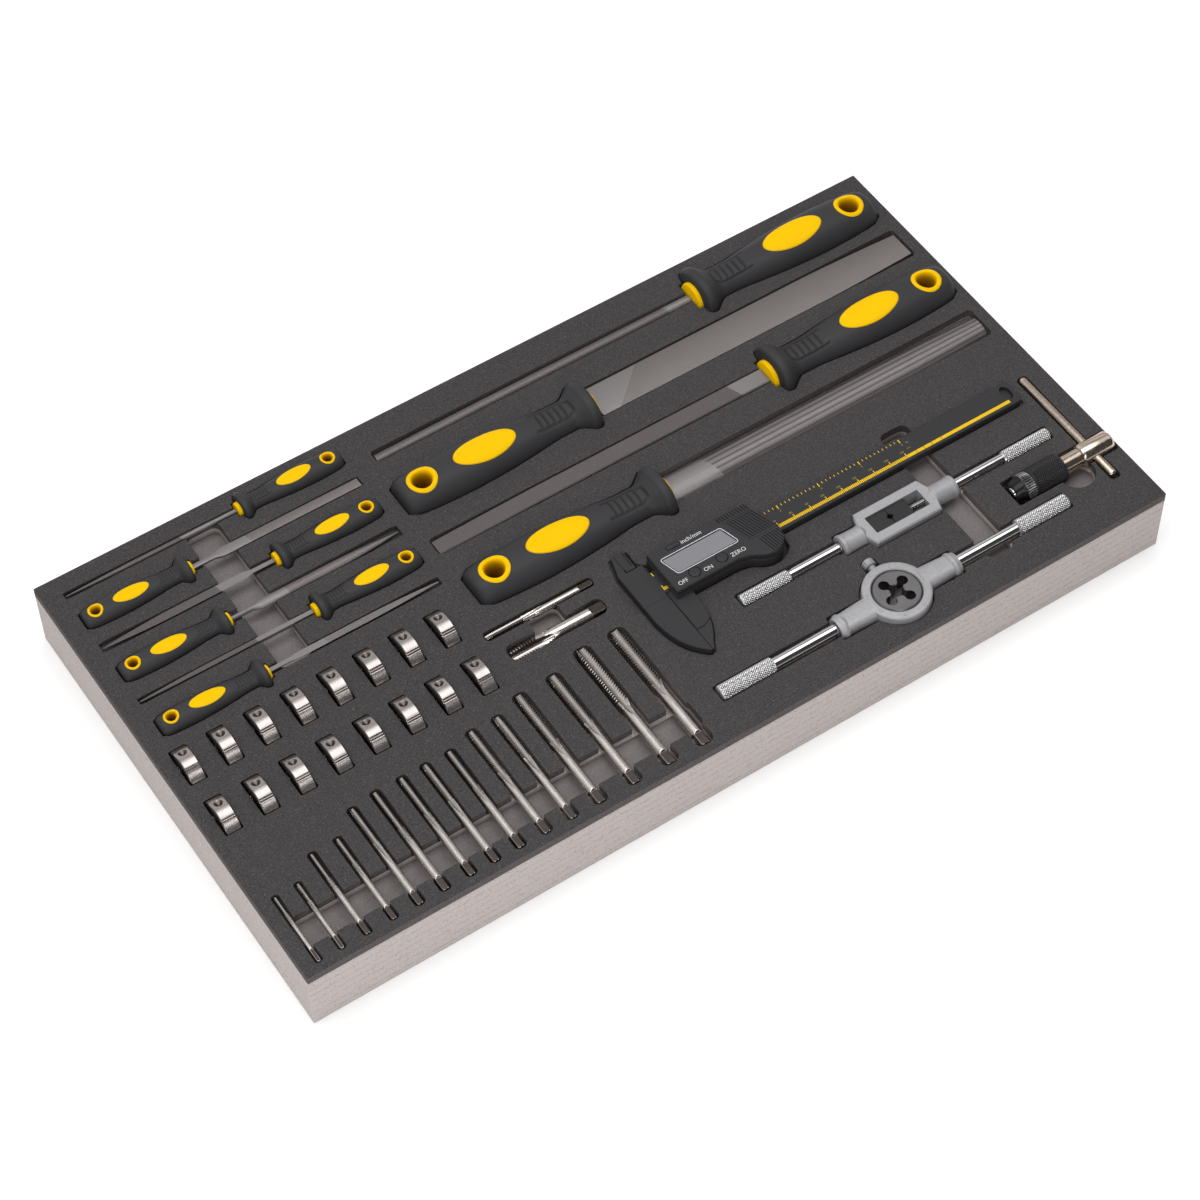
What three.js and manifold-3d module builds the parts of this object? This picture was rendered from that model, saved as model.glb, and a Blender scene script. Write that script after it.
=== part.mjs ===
// Foam tray insert for a tool chest drawer, with the threading, filing and measuring tools that lie in it.
// Millimetres, +Z up, +X along the long side, origin at the middle of the underside.
import * as THREE from "three";
import { mergeVertices } from "three/addons/utils/BufferGeometryUtils.js";
import Module from "manifold-3d";

const wasm = await Module();
wasm.setup();

// Tray
const trayLength = 505;
const trayWidth = 268;
const trayHeight = 41;
const sheetThickness = 5;
const pocketLayerThickness = 14.5;
const trayHalfLength = trayLength / 2;
const trayHalfWidth = trayWidth / 2;
const sheetUnderside = trayHeight - sheetThickness;
const baseThickness = sheetUnderside - pocketLayerThickness;

// Clearances
const restGap = 0.3;
const turnGap = 0.3;
const foamGap = 0.8;
const overrun = 1;

// Points closer than this are one corner
const weldDistance = 0.0001;

// Floor of what is cut through the whole pocket layer, down to the base slab
const throughLayer = baseThickness - overrun;

// Finger troughs, cut across the tools so that a hand can lift them
const troughCorner = 4;
const troughFloor = trayHeight - 9.5;
const needleTrough = { left: -174, right: -155.5, front: 24, back: 121 };
const tapTroughInset = 8.5;
const tapTrough = { left: tapTroughInset - trayHalfLength, right: -21, front: -119.5, back: -102 };
const wrenchTrough = { left: 153.3, right: 170, front: -117, back: -22.5 };
const middleTapTrough = { left: -59.5, right: -41.5, front: -32.5, back: -17 };
const reliefRadius = 10;
const reliefX = 223.5;
const reliefY = -97.5;

// Large files, drawn along +X from the butt of the handle
const fileDepth = 3.2;
const handleLength = 114.5;
const handleRadius = 14.2;
const handleHeightShare = 0.93;
const buttCorner = 4.5;
const flangeRadius = 16;
const flangeThickness = 7;
const collarRadius = 9.3;
const collarThickness = 2.5;
const collarFrontShare = 0.92;
const flangeBackShare = 0.86;
const flangeFrontShare = 0.9;
const flangeRimShare = 0.4;
const hangHoleRadius = 4.2;
const hangHoleFromButt = 13.5;
const tangDepthInHandle = 30;
const tangWidth = 5;
const wideTipShare = 0.8;
const slimTipShare = 0.94;
const tipThicknessShare = 0.8;
const bladeTaperStart = 0.7;
const fileFloorGap = 0.4;
const largeFiles = [
  { name: "round", butt: 245.5, axis: 111.2, heading: -1, blade: 196, width: 6.4, thickness: 6.4 },
  { name: "flat", butt: -72, axis: 79, heading: 1, blade: 200, width: 20, thickness: 5 },
  { name: "square", butt: 247.5, axis: 44.4, heading: -1, blade: 203, width: 10, thickness: 10 },
  { name: "half_round", butt: -72, axis: 10.8, heading: 1, blade: 200, width: 18.4, thickness: 6 },
];

// Needle files
const needleDepth = 1.2;
const needleHandleLength = 59;
const needleHandleRadius = 6.9;
const needleHandleHeightShare = 0.9;
const needleFlangeRadius = 8.4;
const needleFlangeThickness = 4;
const needleCollarRadius = 4.2;
const needleCollarThickness = 2;
const needleHoleRadius = 2;
const needleHoleFromButt = 7;
const needleLength = 158.5;
const needleShankRadius = 1.3;
const needleShankLength = 12;
const needleTaperStart = 0.72;
const needleTipThicker = 0.3;
const needlePitchShare = 0.1429;
const needleFirstShare = 0.1896;
const needlePitch = needlePitchShare * trayHalfWidth;
const needleFirstAxis = needleFirstShare * trayHalfWidth;
const needleLeftButt = -241;
const needleRightButt = -82.5;
const needleFiles = [
  { name: "needle_file_triangular", heading: 1, width: 4, thickness: 2.4, tipShare: 0.15, kind: "triangle" },
  { name: "needle_file_square", heading: -1, width: 2.6, thickness: 2.6, tipShare: 0.3, kind: "square" },
  { name: "needle_file_half_round", heading: 1, width: 6, thickness: 2, tipShare: 0.1, kind: "halfRound" },
  { name: "needle_file_knife", heading: -1, width: 5, thickness: 1.8, tipShare: 0.1, kind: "triangle" },
  { name: "needle_file_flat", heading: 1, width: 5.4, thickness: 1.6, tipShare: 1, kind: "flat" },
  { name: "needle_file_round", heading: -1, width: 2.8, thickness: 2.8, tipShare: 0.3, kind: "round" },
];

// Taps, each with a threaded end, a neck, a shank and a square
const tapSquareLength = 8;
const tapNeckLength = 7;
const tapSquareShare = 0.8;
const tapNeckShare = 0.96;
const tapChamferShare = 0.76;
const tapDepthShare = 0.25;
const tapPocketCornerShare = 0.35;
const tapDepthLeast = 0.9;
const tapRowFront = -128.6;
const tapShankLength = 24;
const tapFullLength = 60;
const rowTaps = [
  { placeShare: -0.9616, length: 41, thread: 2.6, shank: 2.6 },
  { placeShare: -0.9121, length: 41.5, thread: 2.8, shank: 2.8 },
  { placeShare: -0.8574, length: 52, thread: 3.2, shank: 3.6 },
  { placeShare: -0.8008, length: 52.5, thread: 3.4, shank: 3.6 },
  { placeShare: -0.7446, length: 63, thread: 4, shank: 4.4 },
  { placeShare: -0.6891, length: 65, thread: 4.2, shank: 4.6 },
  { placeShare: -0.6317, length: 65, thread: 4.4, shank: 4.6 },
  { placeShare: -0.579, length: 65, thread: 4.6, shank: 4.6 },
  { placeShare: -0.5236, length: 65, thread: 4.8, shank: 4.8 },
  { placeShare: -0.4661, length: 69, thread: 5.4, shank: 5 },
  { placeShare: -0.4079, length: 69, thread: 5.6, shank: 5 },
  { placeShare: -0.3446, length: 74, thread: 6.8, shank: 5.8 },
  { placeShare: -0.2665, length: 74.5, thread: 7, shank: 5.8 },
  { placeShare: -0.1861, length: 80, thread: 8.6, shank: 6.4 },
  { placeShare: -0.1069, length: 80, thread: 8.8, shank: 6.4 },
];
const slenderMiddleTap = { placeShare: -0.0772, y: -17, length: 62, thread: 4, shank: 4.4 };
const pipeMiddleTap = { placeShare: -0.0891, y: -32.2, length: 54.5, thread: 8.4, shank: 7.4 };

// Dies, standing on edge in two rows and one lying in the die stock
const dieRadius = 12.7;
const dieThickness = 8;
const dieBoreRadius = 5.6;
const cloverShare = 0.45;
const dieDepth = 6.5;
const diePitchShare = 0.0812;
const dieFirstShare = -0.9505;
const diePitch = diePitchShare * trayHalfLength;
const dieFirstX = dieFirstShare * trayHalfLength;
const dieCount = 8;
const dieRowBackY = -0.9;
const dieRowFrontY = -34.9;
const dieTieRadius = 1;
const dieTieOffset = 9.2;

// Caliper, its heights counted from the top of the foam
const jawParting = 5.8;
const jawGap = 0.3;
const beamTop = 3.4;
const beamThickness = 4.4;
const beamWidth = 15;
const beamAxisY = -38.6;
const beamRightEnd = 229;
const beamCorner = 2;
const jawReach = 41;
const fixedJawWidth = 14.4;
const movingJawWidth = 11.8;
const insideJawReach = 12.2;
const insideJawWidth = 5.6;
const insideJawRight = 2.3;
const sliderLeft = 8.4;
const sliderLength = 58.4;
const sliderSlant = 7;
const sliderWall = 6.2;
const sliderFloor = 2.4;
const sliderRoof = 1.4;
const thumbRestDrop = 6.6;
const housingHeight = 3.8;
const housingLid = 0.5;
const windowFromLeft = 4.4;
const windowFromBack = 7.2;
const windowWidth = 35;
const windowDepth = 10.5;
const windowSlant = 3;
const windowRecess = 1.2;
const windowThickness = 0.7;
const buttonWell = 2;
const buttonTravel = 0.6;
const buttonHeight = 1.6;
const unitButtonWidth = 7.6;
const unitButtonDepth = 2.4;
const unitButtonFromLeft = 10.2;
const unitButtonFromBack = 1.4;
const roundButtonRadius = 3;
const roundButtonFromFront = 5.4;
const roundButtonsFromLeft = [14, 30.3];
const batteryCoverFromLeft = 43;
const batteryCoverFromBack = 5;
const batteryCoverDepth = 16;
const batteryCoverThickness = 1.3;
const cellRadius = 6.25;
const cellThickness = 1.6;
const depthRodWidth = 2.4;
const depthRodThickness = 1.2;
const endHoleLength = 10;
const endHoleWidth = 4;
const endHoleInset = 4.4;
const endHoleDepth = 2.2;
const sliderPocketShift = 2.6;

// Bar tap wrench, its places along X counted in the tray's frame
const tapWrenchY = -68.6;
const tapWrenchDepth = 1.5;
const wrenchFrameLeft = 108.8;
const wrenchFrameLength = 45;
const wrenchFrameWidth = 22;
const wrenchFrameThickness = 9;
const wrenchChamferLength = 2.6;
const wrenchChamferWidth = 7;
const wrenchWindowWall = 6;
const wrenchWindowWidth = 11.2;
const wrenchCollarLength = 13;
const wrenchCollarRadius = 6.3;
const wrenchCollarRootShare = 0.92;
const wrenchRodRadius = 3.1;
const wrenchKnurlRadius = 3.7;
const wrenchKnurlLength = 29;
const wrenchHandleLength = 61;
const wrenchSocketDepth = 9;
const wrenchScrewRadius = 2.2;
const wrenchScrewTipShare = 0.8;
const wrenchJawLength = 12;
const wrenchJawNotch = 1.8;
const wrenchJawHeight = 7;
const wrenchJawTravel = 8;

// Die stock, drawn from the middle of its ring
const dieStockX = 101.2;
const dieStockY = -108.8;
const dieStockDepth = 1;
const ringRadius = 17.8;
const ringHeight = 10;
const ringLip = 1.4;
const ringLipWidth = 2;
const stockArmReach = 37;
const stockArmRootRadius = 6.8;
const stockArmEndRadius = 6;
const stockArmHeightShare = 0.76;
const stockCollarLength = 4.6;
const stockCollarRadius = 7.2;
const stockRodRadius = 3.4;
const stockKnurlRadius = 4.4;
const stockKnurlLength = 31.5;
const stockHandleReach = 107;
const stockSocketDepth = 12;
const clampHeadRadius = 3.5;
const clampHeadLength = 4;
const clampNeckLength = 3.4;
const clampNeckRadius = 2;
const clampScrewRadius = 1.6;

// T-handle tap wrench, drawn from its tommy bar towards the chuck
const teeX = 238.6;
const teeY = -90;
const teeDepth = 1;
const teeHeadRadius = 6.2;
const teeHeadPastBar = 12.2;
const teeHeadBeforeBar = 7.8;
const teeHeadRound = 2;
const teeNeckRadius = 5;
const teeNeckLength = 11.6;
const teeSpindleRadius = 3.8;
const teeSpindleLength = 19;
const teeSleeveRadius = 7.9;
const teeSleeveLength = 25.5;
const teeNoseRadius = 5.6;
const teeNoseLength = 5.4;
const teeRoundedEndShare = 0.7;
const teeJawRadius = 3.6;
const teeJawLength = 10;
const teeJawProud = 0.6;
const teeJawSlot = 1.6;
const teeJawSlotLength = 6;
const teeBarRadius = 2.4;
const teeBarBack = 57.5;
const teeBarFront = 19.3;
const teeBarPocketShift = 2.6;

// Colours, roughness and metalness of what the pieces are made of
function finish(color, roughness, metalness) {
  return new THREE.MeshStandardMaterial({ color, roughness, metalness });
}
const finishes = {
  darkFoam: finish(0x4a4849, 0.95, 0),
  paleFoam: finish(0xb9aca6, 0.95, 0),
  gripRubber: finish(0x3a3a3b, 0.6, 0),
  fileSteel: finish(0x7d7775, 0.5, 0.8),
  brightSteel: finish(0xb5aca8, 0.3, 1),
  chrome: finish(0xd8d8d8, 0.12, 1),
  silverPaint: finish(0xb4b5b7, 0.5, 0.4),
  nickel: finish(0xb7a595, 0.25, 1),
  blackSteel: finish(0x2c2c2e, 0.45, 0.7),
  blackPlastic: finish(0x323234, 0.6, 0),
  displayGrey: finish(0x8f8c8d, 0.3, 0),
};

// Closed solids and booleans
function solidOf(geometry) {
  geometry.deleteAttribute("normal");
  geometry.deleteAttribute("uv");
  const merged = mergeVertices(geometry, weldDistance);
  return new wasm.Manifold(new wasm.Mesh({
    numProp: 3,
    vertProperties: new Float32Array(merged.attributes.position.array),
    triVerts: new Uint32Array(merged.index.array),
  }));
}

function geometryOf(solid) {
  const mesh = solid.getMesh();
  const geometry = new THREE.BufferGeometry();
  geometry.setAttribute("position", new THREE.BufferAttribute(new Float32Array(mesh.vertProperties), 3));
  geometry.setIndex(new THREE.BufferAttribute(new Uint32Array(mesh.triVerts), 1));
  geometry.computeVertexNormals();
  return geometry;
}

// An outline in the XY plane raised from one height to another
function raised(outline, bottom, top) {
  const depth = top - bottom;
  const geometry = new THREE.ExtrudeGeometry(outline, { depth, bevelEnabled: false, curveSegments: 3 });
  geometry.translate(0, 0, bottom);
  return solidOf(geometry);
}

function polygon(points) {
  return new THREE.Shape(points.map(([x, y]) => new THREE.Vector2(x, y)));
}

function boxOutline(left, right, front, back) {
  return polygon([[left, front], [right, front], [right, back], [left, back]]);
}

function boxBetween(left, right, front, back, bottom, top) {
  return raised(boxOutline(left, right, front, back), bottom, top);
}

function circleOutline(x, y, radius, sides) {
  const points = [];
  for (let i = 0; i < sides; i += 1) {
    const angle = (2 * Math.PI * i) / sides;
    points.push([x + radius * Math.cos(angle), y + radius * Math.sin(angle)]);
  }
  return points;
}

// A rectangle with its corners rounded by one chord each, or by more of them
function roundedBox(left, right, front, back, corner, steps = 1) {
  const points = [];
  const centres = [
    [right - corner, back - corner, 0],
    [left + corner, back - corner, 1],
    [left + corner, front + corner, 2],
    [right - corner, front + corner, 3],
  ];
  for (const [x, y, quarter] of centres) {
    for (let i = 0; i <= steps; i += 1) {
      const angle = (Math.PI / 2) * (quarter + i / steps);
      points.push([x + corner * Math.cos(angle), y + corner * Math.sin(angle)]);
    }
  }
  return polygon(points);
}

// Unit sections across the axis of a tool, as [sideways, up] pairs
function roundSection(sides) {
  const points = [];
  for (let i = 0; i < sides; i += 1) {
    const angle = (2 * Math.PI * (i + 0.5)) / sides;
    points.push([Math.cos(angle), Math.sin(angle)]);
  }
  return points;
}
const squareSection = [[1, 1], [-1, 1], [-1, -1], [1, -1]];
const triangleSection = [[1, 1], [-1, 1], [0, -1]];
const halfRoundSection = [[1, -1], [1, -0.6], [0.6, 0.5], [0, 1], [-0.6, 0.5], [-1, -0.6], [-1, -1]];
const eightSidedSquare = [
  [1, 0.4], [0.4, 1], [-0.4, 1], [-1, 0.4], [-1, -0.4], [-0.4, -1], [0.4, -1], [1, -0.4],
];

// A solid along +X through stations of { at, width, height, lift, section }, width and height being halves
function along(stations, placement = stay) {
  const positions = [];
  const indices = [];
  const sides = stations[0].section.length;
  for (const { at, width, height, lift = 0, section } of stations) {
    for (const [sideways, up] of section) {
      positions.push(at, sideways * width, lift + up * height);
    }
  }
  const firstCentre = positions.length / 3;
  positions.push(stations[0].at, 0, stations[0].lift ?? 0);
  const last = stations[stations.length - 1];
  positions.push(last.at, 0, last.lift ?? 0);
  for (let ring = 0; ring < stations.length - 1; ring += 1) {
    for (let side = 0; side < sides; side += 1) {
      const next = (side + 1) % sides;
      const a = ring * sides + side;
      const b = ring * sides + next;
      indices.push(a, b, a + sides, b, b + sides, a + sides);
    }
  }
  const lastRing = (stations.length - 1) * sides;
  for (let side = 0; side < sides; side += 1) {
    const next = (side + 1) % sides;
    indices.push(firstCentre, next, side);
    indices.push(firstCentre + 1, lastRing + side, lastRing + next);
  }
  const geometry = new THREE.BufferGeometry();
  geometry.setAttribute("position", new THREE.BufferAttribute(new Float32Array(positions), 3));
  geometry.setIndex(indices);
  geometry.applyMatrix4(placement);
  return solidOf(geometry);
}

// Ways to lay such a solid: as it is, shifted, turned to -X, or turned to +Y
const stay = new THREE.Matrix4();
const quarterTurn = new THREE.Matrix4().makeRotationZ(Math.PI / 2);

function turned(side) {
  return new THREE.Matrix4().makeRotationZ(side > 0 ? 0 : Math.PI);
}

function shifted(x, y, z) {
  return new THREE.Matrix4().makeTranslation(x, y, z);
}

// A round bar along +X with one radius at each station
function roundBar(radii, sides, placement = stay) {
  const section = roundSection(sides);
  return along(radii.map(([at, radius]) => ({ at, width: radius, height: radius, section })), placement);
}

// The finished object
const object = new THREE.Group();

function addPiece(parent, name, solid, material) {
  const mesh = new THREE.Mesh(geometryOf(solid), material);
  mesh.name = name;
  parent.add(mesh);
  return mesh;
}

// A group whose +X runs along a tool, standing at a depth below the top of the foam
function toolGroup(x, y, depth, turn) {
  const group = new THREE.Group();
  group.position.set(x, y, trayHeight - depth);
  group.rotation.z = turn;
  object.add(group);
  return group;
}

// What is cut out of the foam: an outline in the tray's own frame and the height of its floor
const pockets = [];

function pocket(outline, floor) {
  pockets.push({ outline, floor });
}

function headingTurn(heading) {
  return heading > 0 ? 0 : Math.PI;
}

// The plan of a tool with half widths along its axis, grown by the foam gap and closed at both ends
function planOutline(stations, x, y, heading, growth) {
  const right = stations.map(([at, half]) => [at, half + growth]);
  right[0][0] -= growth;
  right[right.length - 1][0] += growth;
  const points = right.map(([at, half]) => [x + heading * at, y + half]);
  const back = [...right].reverse().map(([at, half]) => [x + heading * at, y - half]);
  return polygon([...points, ...back]);
}

// Handle of a file: [share of length, share of radius] along the grip, then the flange
const gripShares = [
  [0, 0.6], [0.025, 0.82], [0.09, 0.92], [0.32, 1], [0.48, 0.96], [0.66, 0.84], [0.82, 0.72], [0.88, 0.72],
];

function handleStations(length, radius, flange, flangeWidth) {
  const grip = gripShares.map(([lengthShare, radiusShare]) => [lengthShare * length, radiusShare * radius]);
  const flangeBack = length - flangeWidth;
  return [
    ...grip,
    [flangeBack, flangeBackShare * flange],
    [flangeBack + flangeRimShare * flangeWidth, flange],
    [length, flangeFrontShare * flange],
  ];
}

function handleSolid(stations, heightShare, collar, collarWidth, sides) {
  const section = roundSection(sides);
  const length = stations[stations.length - 1][0];
  const rings = stations.map(([at, radius]) => (
    { at, width: radius, height: radius * heightShare, section }
  ));
  rings.push({ at: length, width: collar, height: collar, section });
  const collarFront = collarFrontShare * collar;
  rings.push({ at: length + collarWidth, width: collarFront, height: collarFront, section });
  return along(rings);
}

function throughHole(x, radius, reach, sides) {
  return raised(polygon(circleOutline(x, 0, radius, sides)), -reach, reach);
}

// Blade sections by kind of file
const bladeSections = {
  round: roundSection(10),
  square: squareSection,
  flat: squareSection,
  triangle: triangleSection,
  halfRound: halfRoundSection,
};

function addLargeFile({ name, butt, axis, heading, blade, width, thickness }) {
  const kind = name === "half_round" ? "halfRound" : name;
  const group = toolGroup(butt, axis, fileDepth, headingTurn(heading));
  const stations = handleStations(handleLength, handleRadius, flangeRadius, flangeThickness);
  const front = handleLength + collarThickness;
  const bladeDrop = kind === "square" ? thickness / 2 - fileDepth : 0;
  const tangStart = front - tangDepthInHandle;
  const section = bladeSections[kind];
  const halfWidth = width / 2;
  const halfThickness = thickness / 2;
  const tipShare = kind === "flat" || kind === "halfRound" ? wideTipShare : slimTipShare;
  const heel = front + restGap;
  const tangHalf = Math.min(tangWidth, width) / 2;
  const tangHalfHeight = Math.min(tangWidth, thickness) / 2;
  const tip = front + blade;
  const taperStart = front + bladeTaperStart * blade;
  const tipHeight = tipThicknessShare * halfThickness;
  const bladeSolid = along([
    { at: tangStart, width: tangHalf, height: tangHalfHeight, section },
    { at: heel, width: tangHalf, height: tangHalfHeight, section },
    { at: heel, width: halfWidth, height: halfThickness, lift: -bladeDrop, section },
    { at: taperStart, width: halfWidth, height: halfThickness, lift: -bladeDrop, section },
    { at: tip, width: tipShare * halfWidth, height: tipHeight, lift: -bladeDrop, section },
  ]);
  const tangHole = boxBetween(
    tangStart - restGap, front + overrun,
    -tangHalf - restGap, tangHalf + restGap,
    -tangHalfHeight - restGap, tangHalfHeight + restGap,
  );
  const handle = handleSolid(stations, handleHeightShare, collarRadius, collarThickness, 14)
    .subtract(throughHole(hangHoleFromButt, hangHoleRadius, handleRadius, 10))
    .subtract(tangHole);
  addPiece(group, `${name}_file_handle`, handle, finishes.gripRubber);
  addPiece(group, `${name}_file_blade`, bladeSolid, finishes.fileSteel);
  const axisHeight = trayHeight - fileDepth;
  const handleFloor = axisHeight - flangeRadius * handleHeightShare - fileFloorGap;
  const plan = [...stations, [handleLength + foamGap, collarRadius], [front, collarRadius]];
  pocket(planOutline(plan, butt, axis, heading, foamGap), handleFloor);
  const bladeStations = [[front - overrun, halfWidth], [tip, halfWidth]];
  const bladeFloor = axisHeight - bladeDrop - halfThickness - fileFloorGap;
  pocket(planOutline(bladeStations, butt, axis, heading, foamGap), bladeFloor);
}

function addNeedleFile({ name, heading, width, thickness, tipShare, kind }, index) {
  const butt = heading > 0 ? needleLeftButt : needleRightButt;
  const axis = needleFirstAxis + index * needlePitch;
  const group = toolGroup(butt, axis, needleDepth, headingTurn(heading));
  const stations = handleStations(
    needleHandleLength, needleHandleRadius, needleFlangeRadius, needleFlangeThickness,
  );
  const handle = handleSolid(
    stations, needleHandleHeightShare, needleCollarRadius, needleCollarThickness, 10,
  );
  const hole = throughHole(needleHoleFromButt, needleHoleRadius, needleHandleRadius, 8);
  const front = needleHandleLength + needleCollarThickness;
  const section = bladeSections[kind];
  const halfWidth = width / 2;
  const halfThickness = thickness / 2;
  const shoulder = front + needleShankLength;
  const shankHeight = Math.min(needleShankRadius, halfThickness);
  const taperStart = front + needleTaperStart * (needleLength - front);
  const tipHeight = Math.min(1, tipShare + needleTipThicker) * halfThickness;
  const blade = along([
    { at: front - overrun, width: needleShankRadius, height: shankHeight, section },
    { at: shoulder, width: needleShankRadius, height: shankHeight, section },
    { at: shoulder + needleShankLength / 2, width: halfWidth, height: halfThickness, section },
    { at: taperStart, width: halfWidth, height: halfThickness, section },
    { at: needleLength, width: tipShare * halfWidth, height: tipHeight, section },
  ]);
  addPiece(group, name, handle.subtract(hole).add(blade), finishes.gripRubber);
  const axisHeight = trayHeight - needleDepth;
  const handleFloor = axisHeight - needleFlangeRadius * needleHandleHeightShare - fileFloorGap;
  const plan = [...stations, [needleHandleLength + foamGap, needleCollarRadius], [front, needleCollarRadius]];
  pocket(planOutline(plan, butt, axis, heading, foamGap), handleFloor);
  const slotHalf = Math.max(halfWidth, needleShankRadius);
  const bladeFloor = axisHeight - Math.max(halfThickness, needleShankRadius) - fileFloorGap;
  const slotPlan = [[front, slotHalf], [needleLength, slotHalf]];
  pocket(planOutline(slotPlan, butt, axis, heading, foamGap), bladeFloor);
}

// A tap along +X from its square end to its threaded tip
function tapSolid({ length, thread, shank }) {
  const threadRadius = thread / 2;
  const shankRadius = shank / 2;
  const neckRadius = tapNeckShare * Math.min(threadRadius, shankRadius);
  const squareHalf = tapSquareShare * shankRadius;
  const lengthShare = Math.min(1, length / tapFullLength);
  const shankEnd = tapSquareLength + tapShankLength * lengthShare;
  const neckEnd = shankEnd + tapNeckLength * lengthShare;
  const leadRadius = tapChamferShare * threadRadius;
  const round = roundSection(8);
  return along([
    { at: 0, width: squareHalf, height: squareHalf, section: eightSidedSquare },
    { at: tapSquareLength, width: squareHalf, height: squareHalf, section: eightSidedSquare },
    { at: tapSquareLength, width: shankRadius, height: shankRadius, section: round },
    { at: shankEnd, width: shankRadius, height: shankRadius, section: round },
    { at: shankEnd + shankRadius, width: neckRadius, height: neckRadius, section: round },
    { at: neckEnd, width: neckRadius, height: neckRadius, section: round },
    { at: neckEnd + threadRadius, width: threadRadius, height: threadRadius, section: round },
    { at: length - 2 * threadRadius, width: threadRadius, height: threadRadius, section: round },
    { at: length, width: leadRadius, height: leadRadius, section: round },
  ]);
}

function addTap(name, tap, y, turn) {
  const x = tap.placeShare * trayHalfLength;
  const widest = Math.max(tap.thread, tap.shank);
  const depth = tapDepthLeast + tapDepthShare * widest;
  const group = toolGroup(x, y, depth, turn);
  addPiece(group, name, tapSolid(tap), finishes.brightSteel);
  const half = widest / 2 + foamGap;
  const end = tap.length + foamGap;
  const floor = trayHeight - depth - widest / 2 - fileFloorGap;
  const corner = tapPocketCornerShare * half;
  if (turn === Math.PI) {
    pocket(roundedBox(x - end, x + foamGap, y - half, y + half, corner), floor);
  } else {
    pocket(roundedBox(x - half, x + half, y - foamGap, y + end, corner), floor);
  }
}

// A die standing on edge, its axis along X
function dieOnEdge(x, y, height) {
  const half = dieThickness / 2;
  const place = shifted(x, y, height);
  const rim = roundBar([[-half, dieRadius], [half, dieRadius]], 16, place);
  const bore = roundBar([[-half - overrun, dieBoreRadius], [half + overrun, dieBoreRadius]], 6, place);
  return rim.subtract(bore);
}

function addDieRow(name, y) {
  const height = trayHeight - dieDepth;
  const lastX = dieFirstX + (dieCount - 1) * diePitch;
  const tiePlace = shifted(0, y + dieTieOffset, height);
  let row = roundBar([[dieFirstX, dieTieRadius], [lastX, dieTieRadius]], 6, tiePlace);
  const halfSlot = dieThickness / 2 + foamGap;
  const slotHalfLength = dieRadius + foamGap;
  for (let i = 0; i < dieCount; i += 1) {
    const x = dieFirstX + i * diePitch;
    row = row.add(dieOnEdge(x, y, height));
    pocket(boxOutline(x - halfSlot, x + halfSlot, y - slotHalfLength, y + slotHalfLength), throughLayer);
  }
  addPiece(object, name, row, finishes.brightSteel);
  return { left: dieFirstX, right: lastX, y: y + dieTieOffset, height };
}

for (const file of largeFiles) {
  addLargeFile(file);
}
needleFiles.forEach(addNeedleFile);
rowTaps.forEach((tap, index) => {
  addTap(`tap_${String(index + 1).padStart(2, "0")}`, tap, tapRowFront, Math.PI / 2);
});
addTap("tap_16", slenderMiddleTap, slenderMiddleTap.y, Math.PI);
addTap("tap_17", pipeMiddleTap, pipeMiddleTap.y, Math.PI);
const dieTies = [addDieRow("dies_back_row", dieRowBackY), addDieRow("dies_front_row", dieRowFrontY)];

// Caliper, drawn in the tray's own axes with heights from the top of the foam
const caliper = new THREE.Group();
caliper.position.z = trayHeight;
object.add(caliper);
const beamBottom = beamTop - beamThickness;
const beamBack = beamAxisY + beamWidth / 2;
const beamFront = beamAxisY - beamWidth / 2;
const sliderBack = beamBack + sliderWall;
const sliderFront = beamFront - sliderWall;
const sliderBottom = beamBottom - jawGap - sliderFloor;
const sliderTop = beamTop + jawGap + sliderRoof;
const jawTip = beamFront - jawReach;
const fixedJawLeft = jawParting - fixedJawWidth;
const movingJawRight = jawParting + movingJawWidth;
const insideJawTip = sliderBack + insideJawReach;
const fixedJawRight = jawParting - jawGap / 2;
const movingJawLeft = jawParting + jawGap / 2;

// [share of the jaw's width from its outer side, share of its reach from the tip]
const jawCurveShares = [[0.86, 0.02], [0.5, 0.16], [0.22, 0.34], [0.06, 0.54], [0, 0.7]];
const movingJawShares = [[0.92, 0.01], [0.75, 0.105], [0.47, 0.23], [0.26, 0.35], [0.1, 0.49], [0, 0.7]];

function fixedHeadOutline() {
  const curve = jawCurveShares.map(([widthShare, reachShare]) => [
    fixedJawLeft + widthShare * fixedJawWidth, jawTip + reachShare * jawReach,
  ]);
  const insideGapLeft = insideJawRight - insideJawWidth - jawGap;
  return polygon([
    [fixedJawRight, jawTip],
    ...curve,
    [fixedJawLeft, sliderBack],
    [insideGapLeft - insideJawWidth / 4, insideJawTip],
    [insideGapLeft, insideJawTip],
    [insideGapLeft, sliderBack],
    [fixedJawRight, sliderBack],
  ].reverse());
}

function movingJawOutline() {
  const curve = movingJawShares.map(([widthShare, reachShare]) => [
    movingJawRight - widthShare * movingJawWidth, jawTip + reachShare * jawReach,
  ]);
  return polygon([
    [movingJawLeft, jawTip],
    ...curve,
    [movingJawRight, beamFront - jawGap],
    [movingJawLeft, beamFront - jawGap],
  ]);
}

// The slider's plan: a slanted right end and the swelling of the thumb rest at the front
// [share of the length from the left, share of the thumb rest's drop]
const thumbRestShares = [[0.63, 0], [0.73, 0.2], [0.84, 0.8], [0.93, 1], [1.03, 0.72], [1.1, 0.12]];

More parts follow.
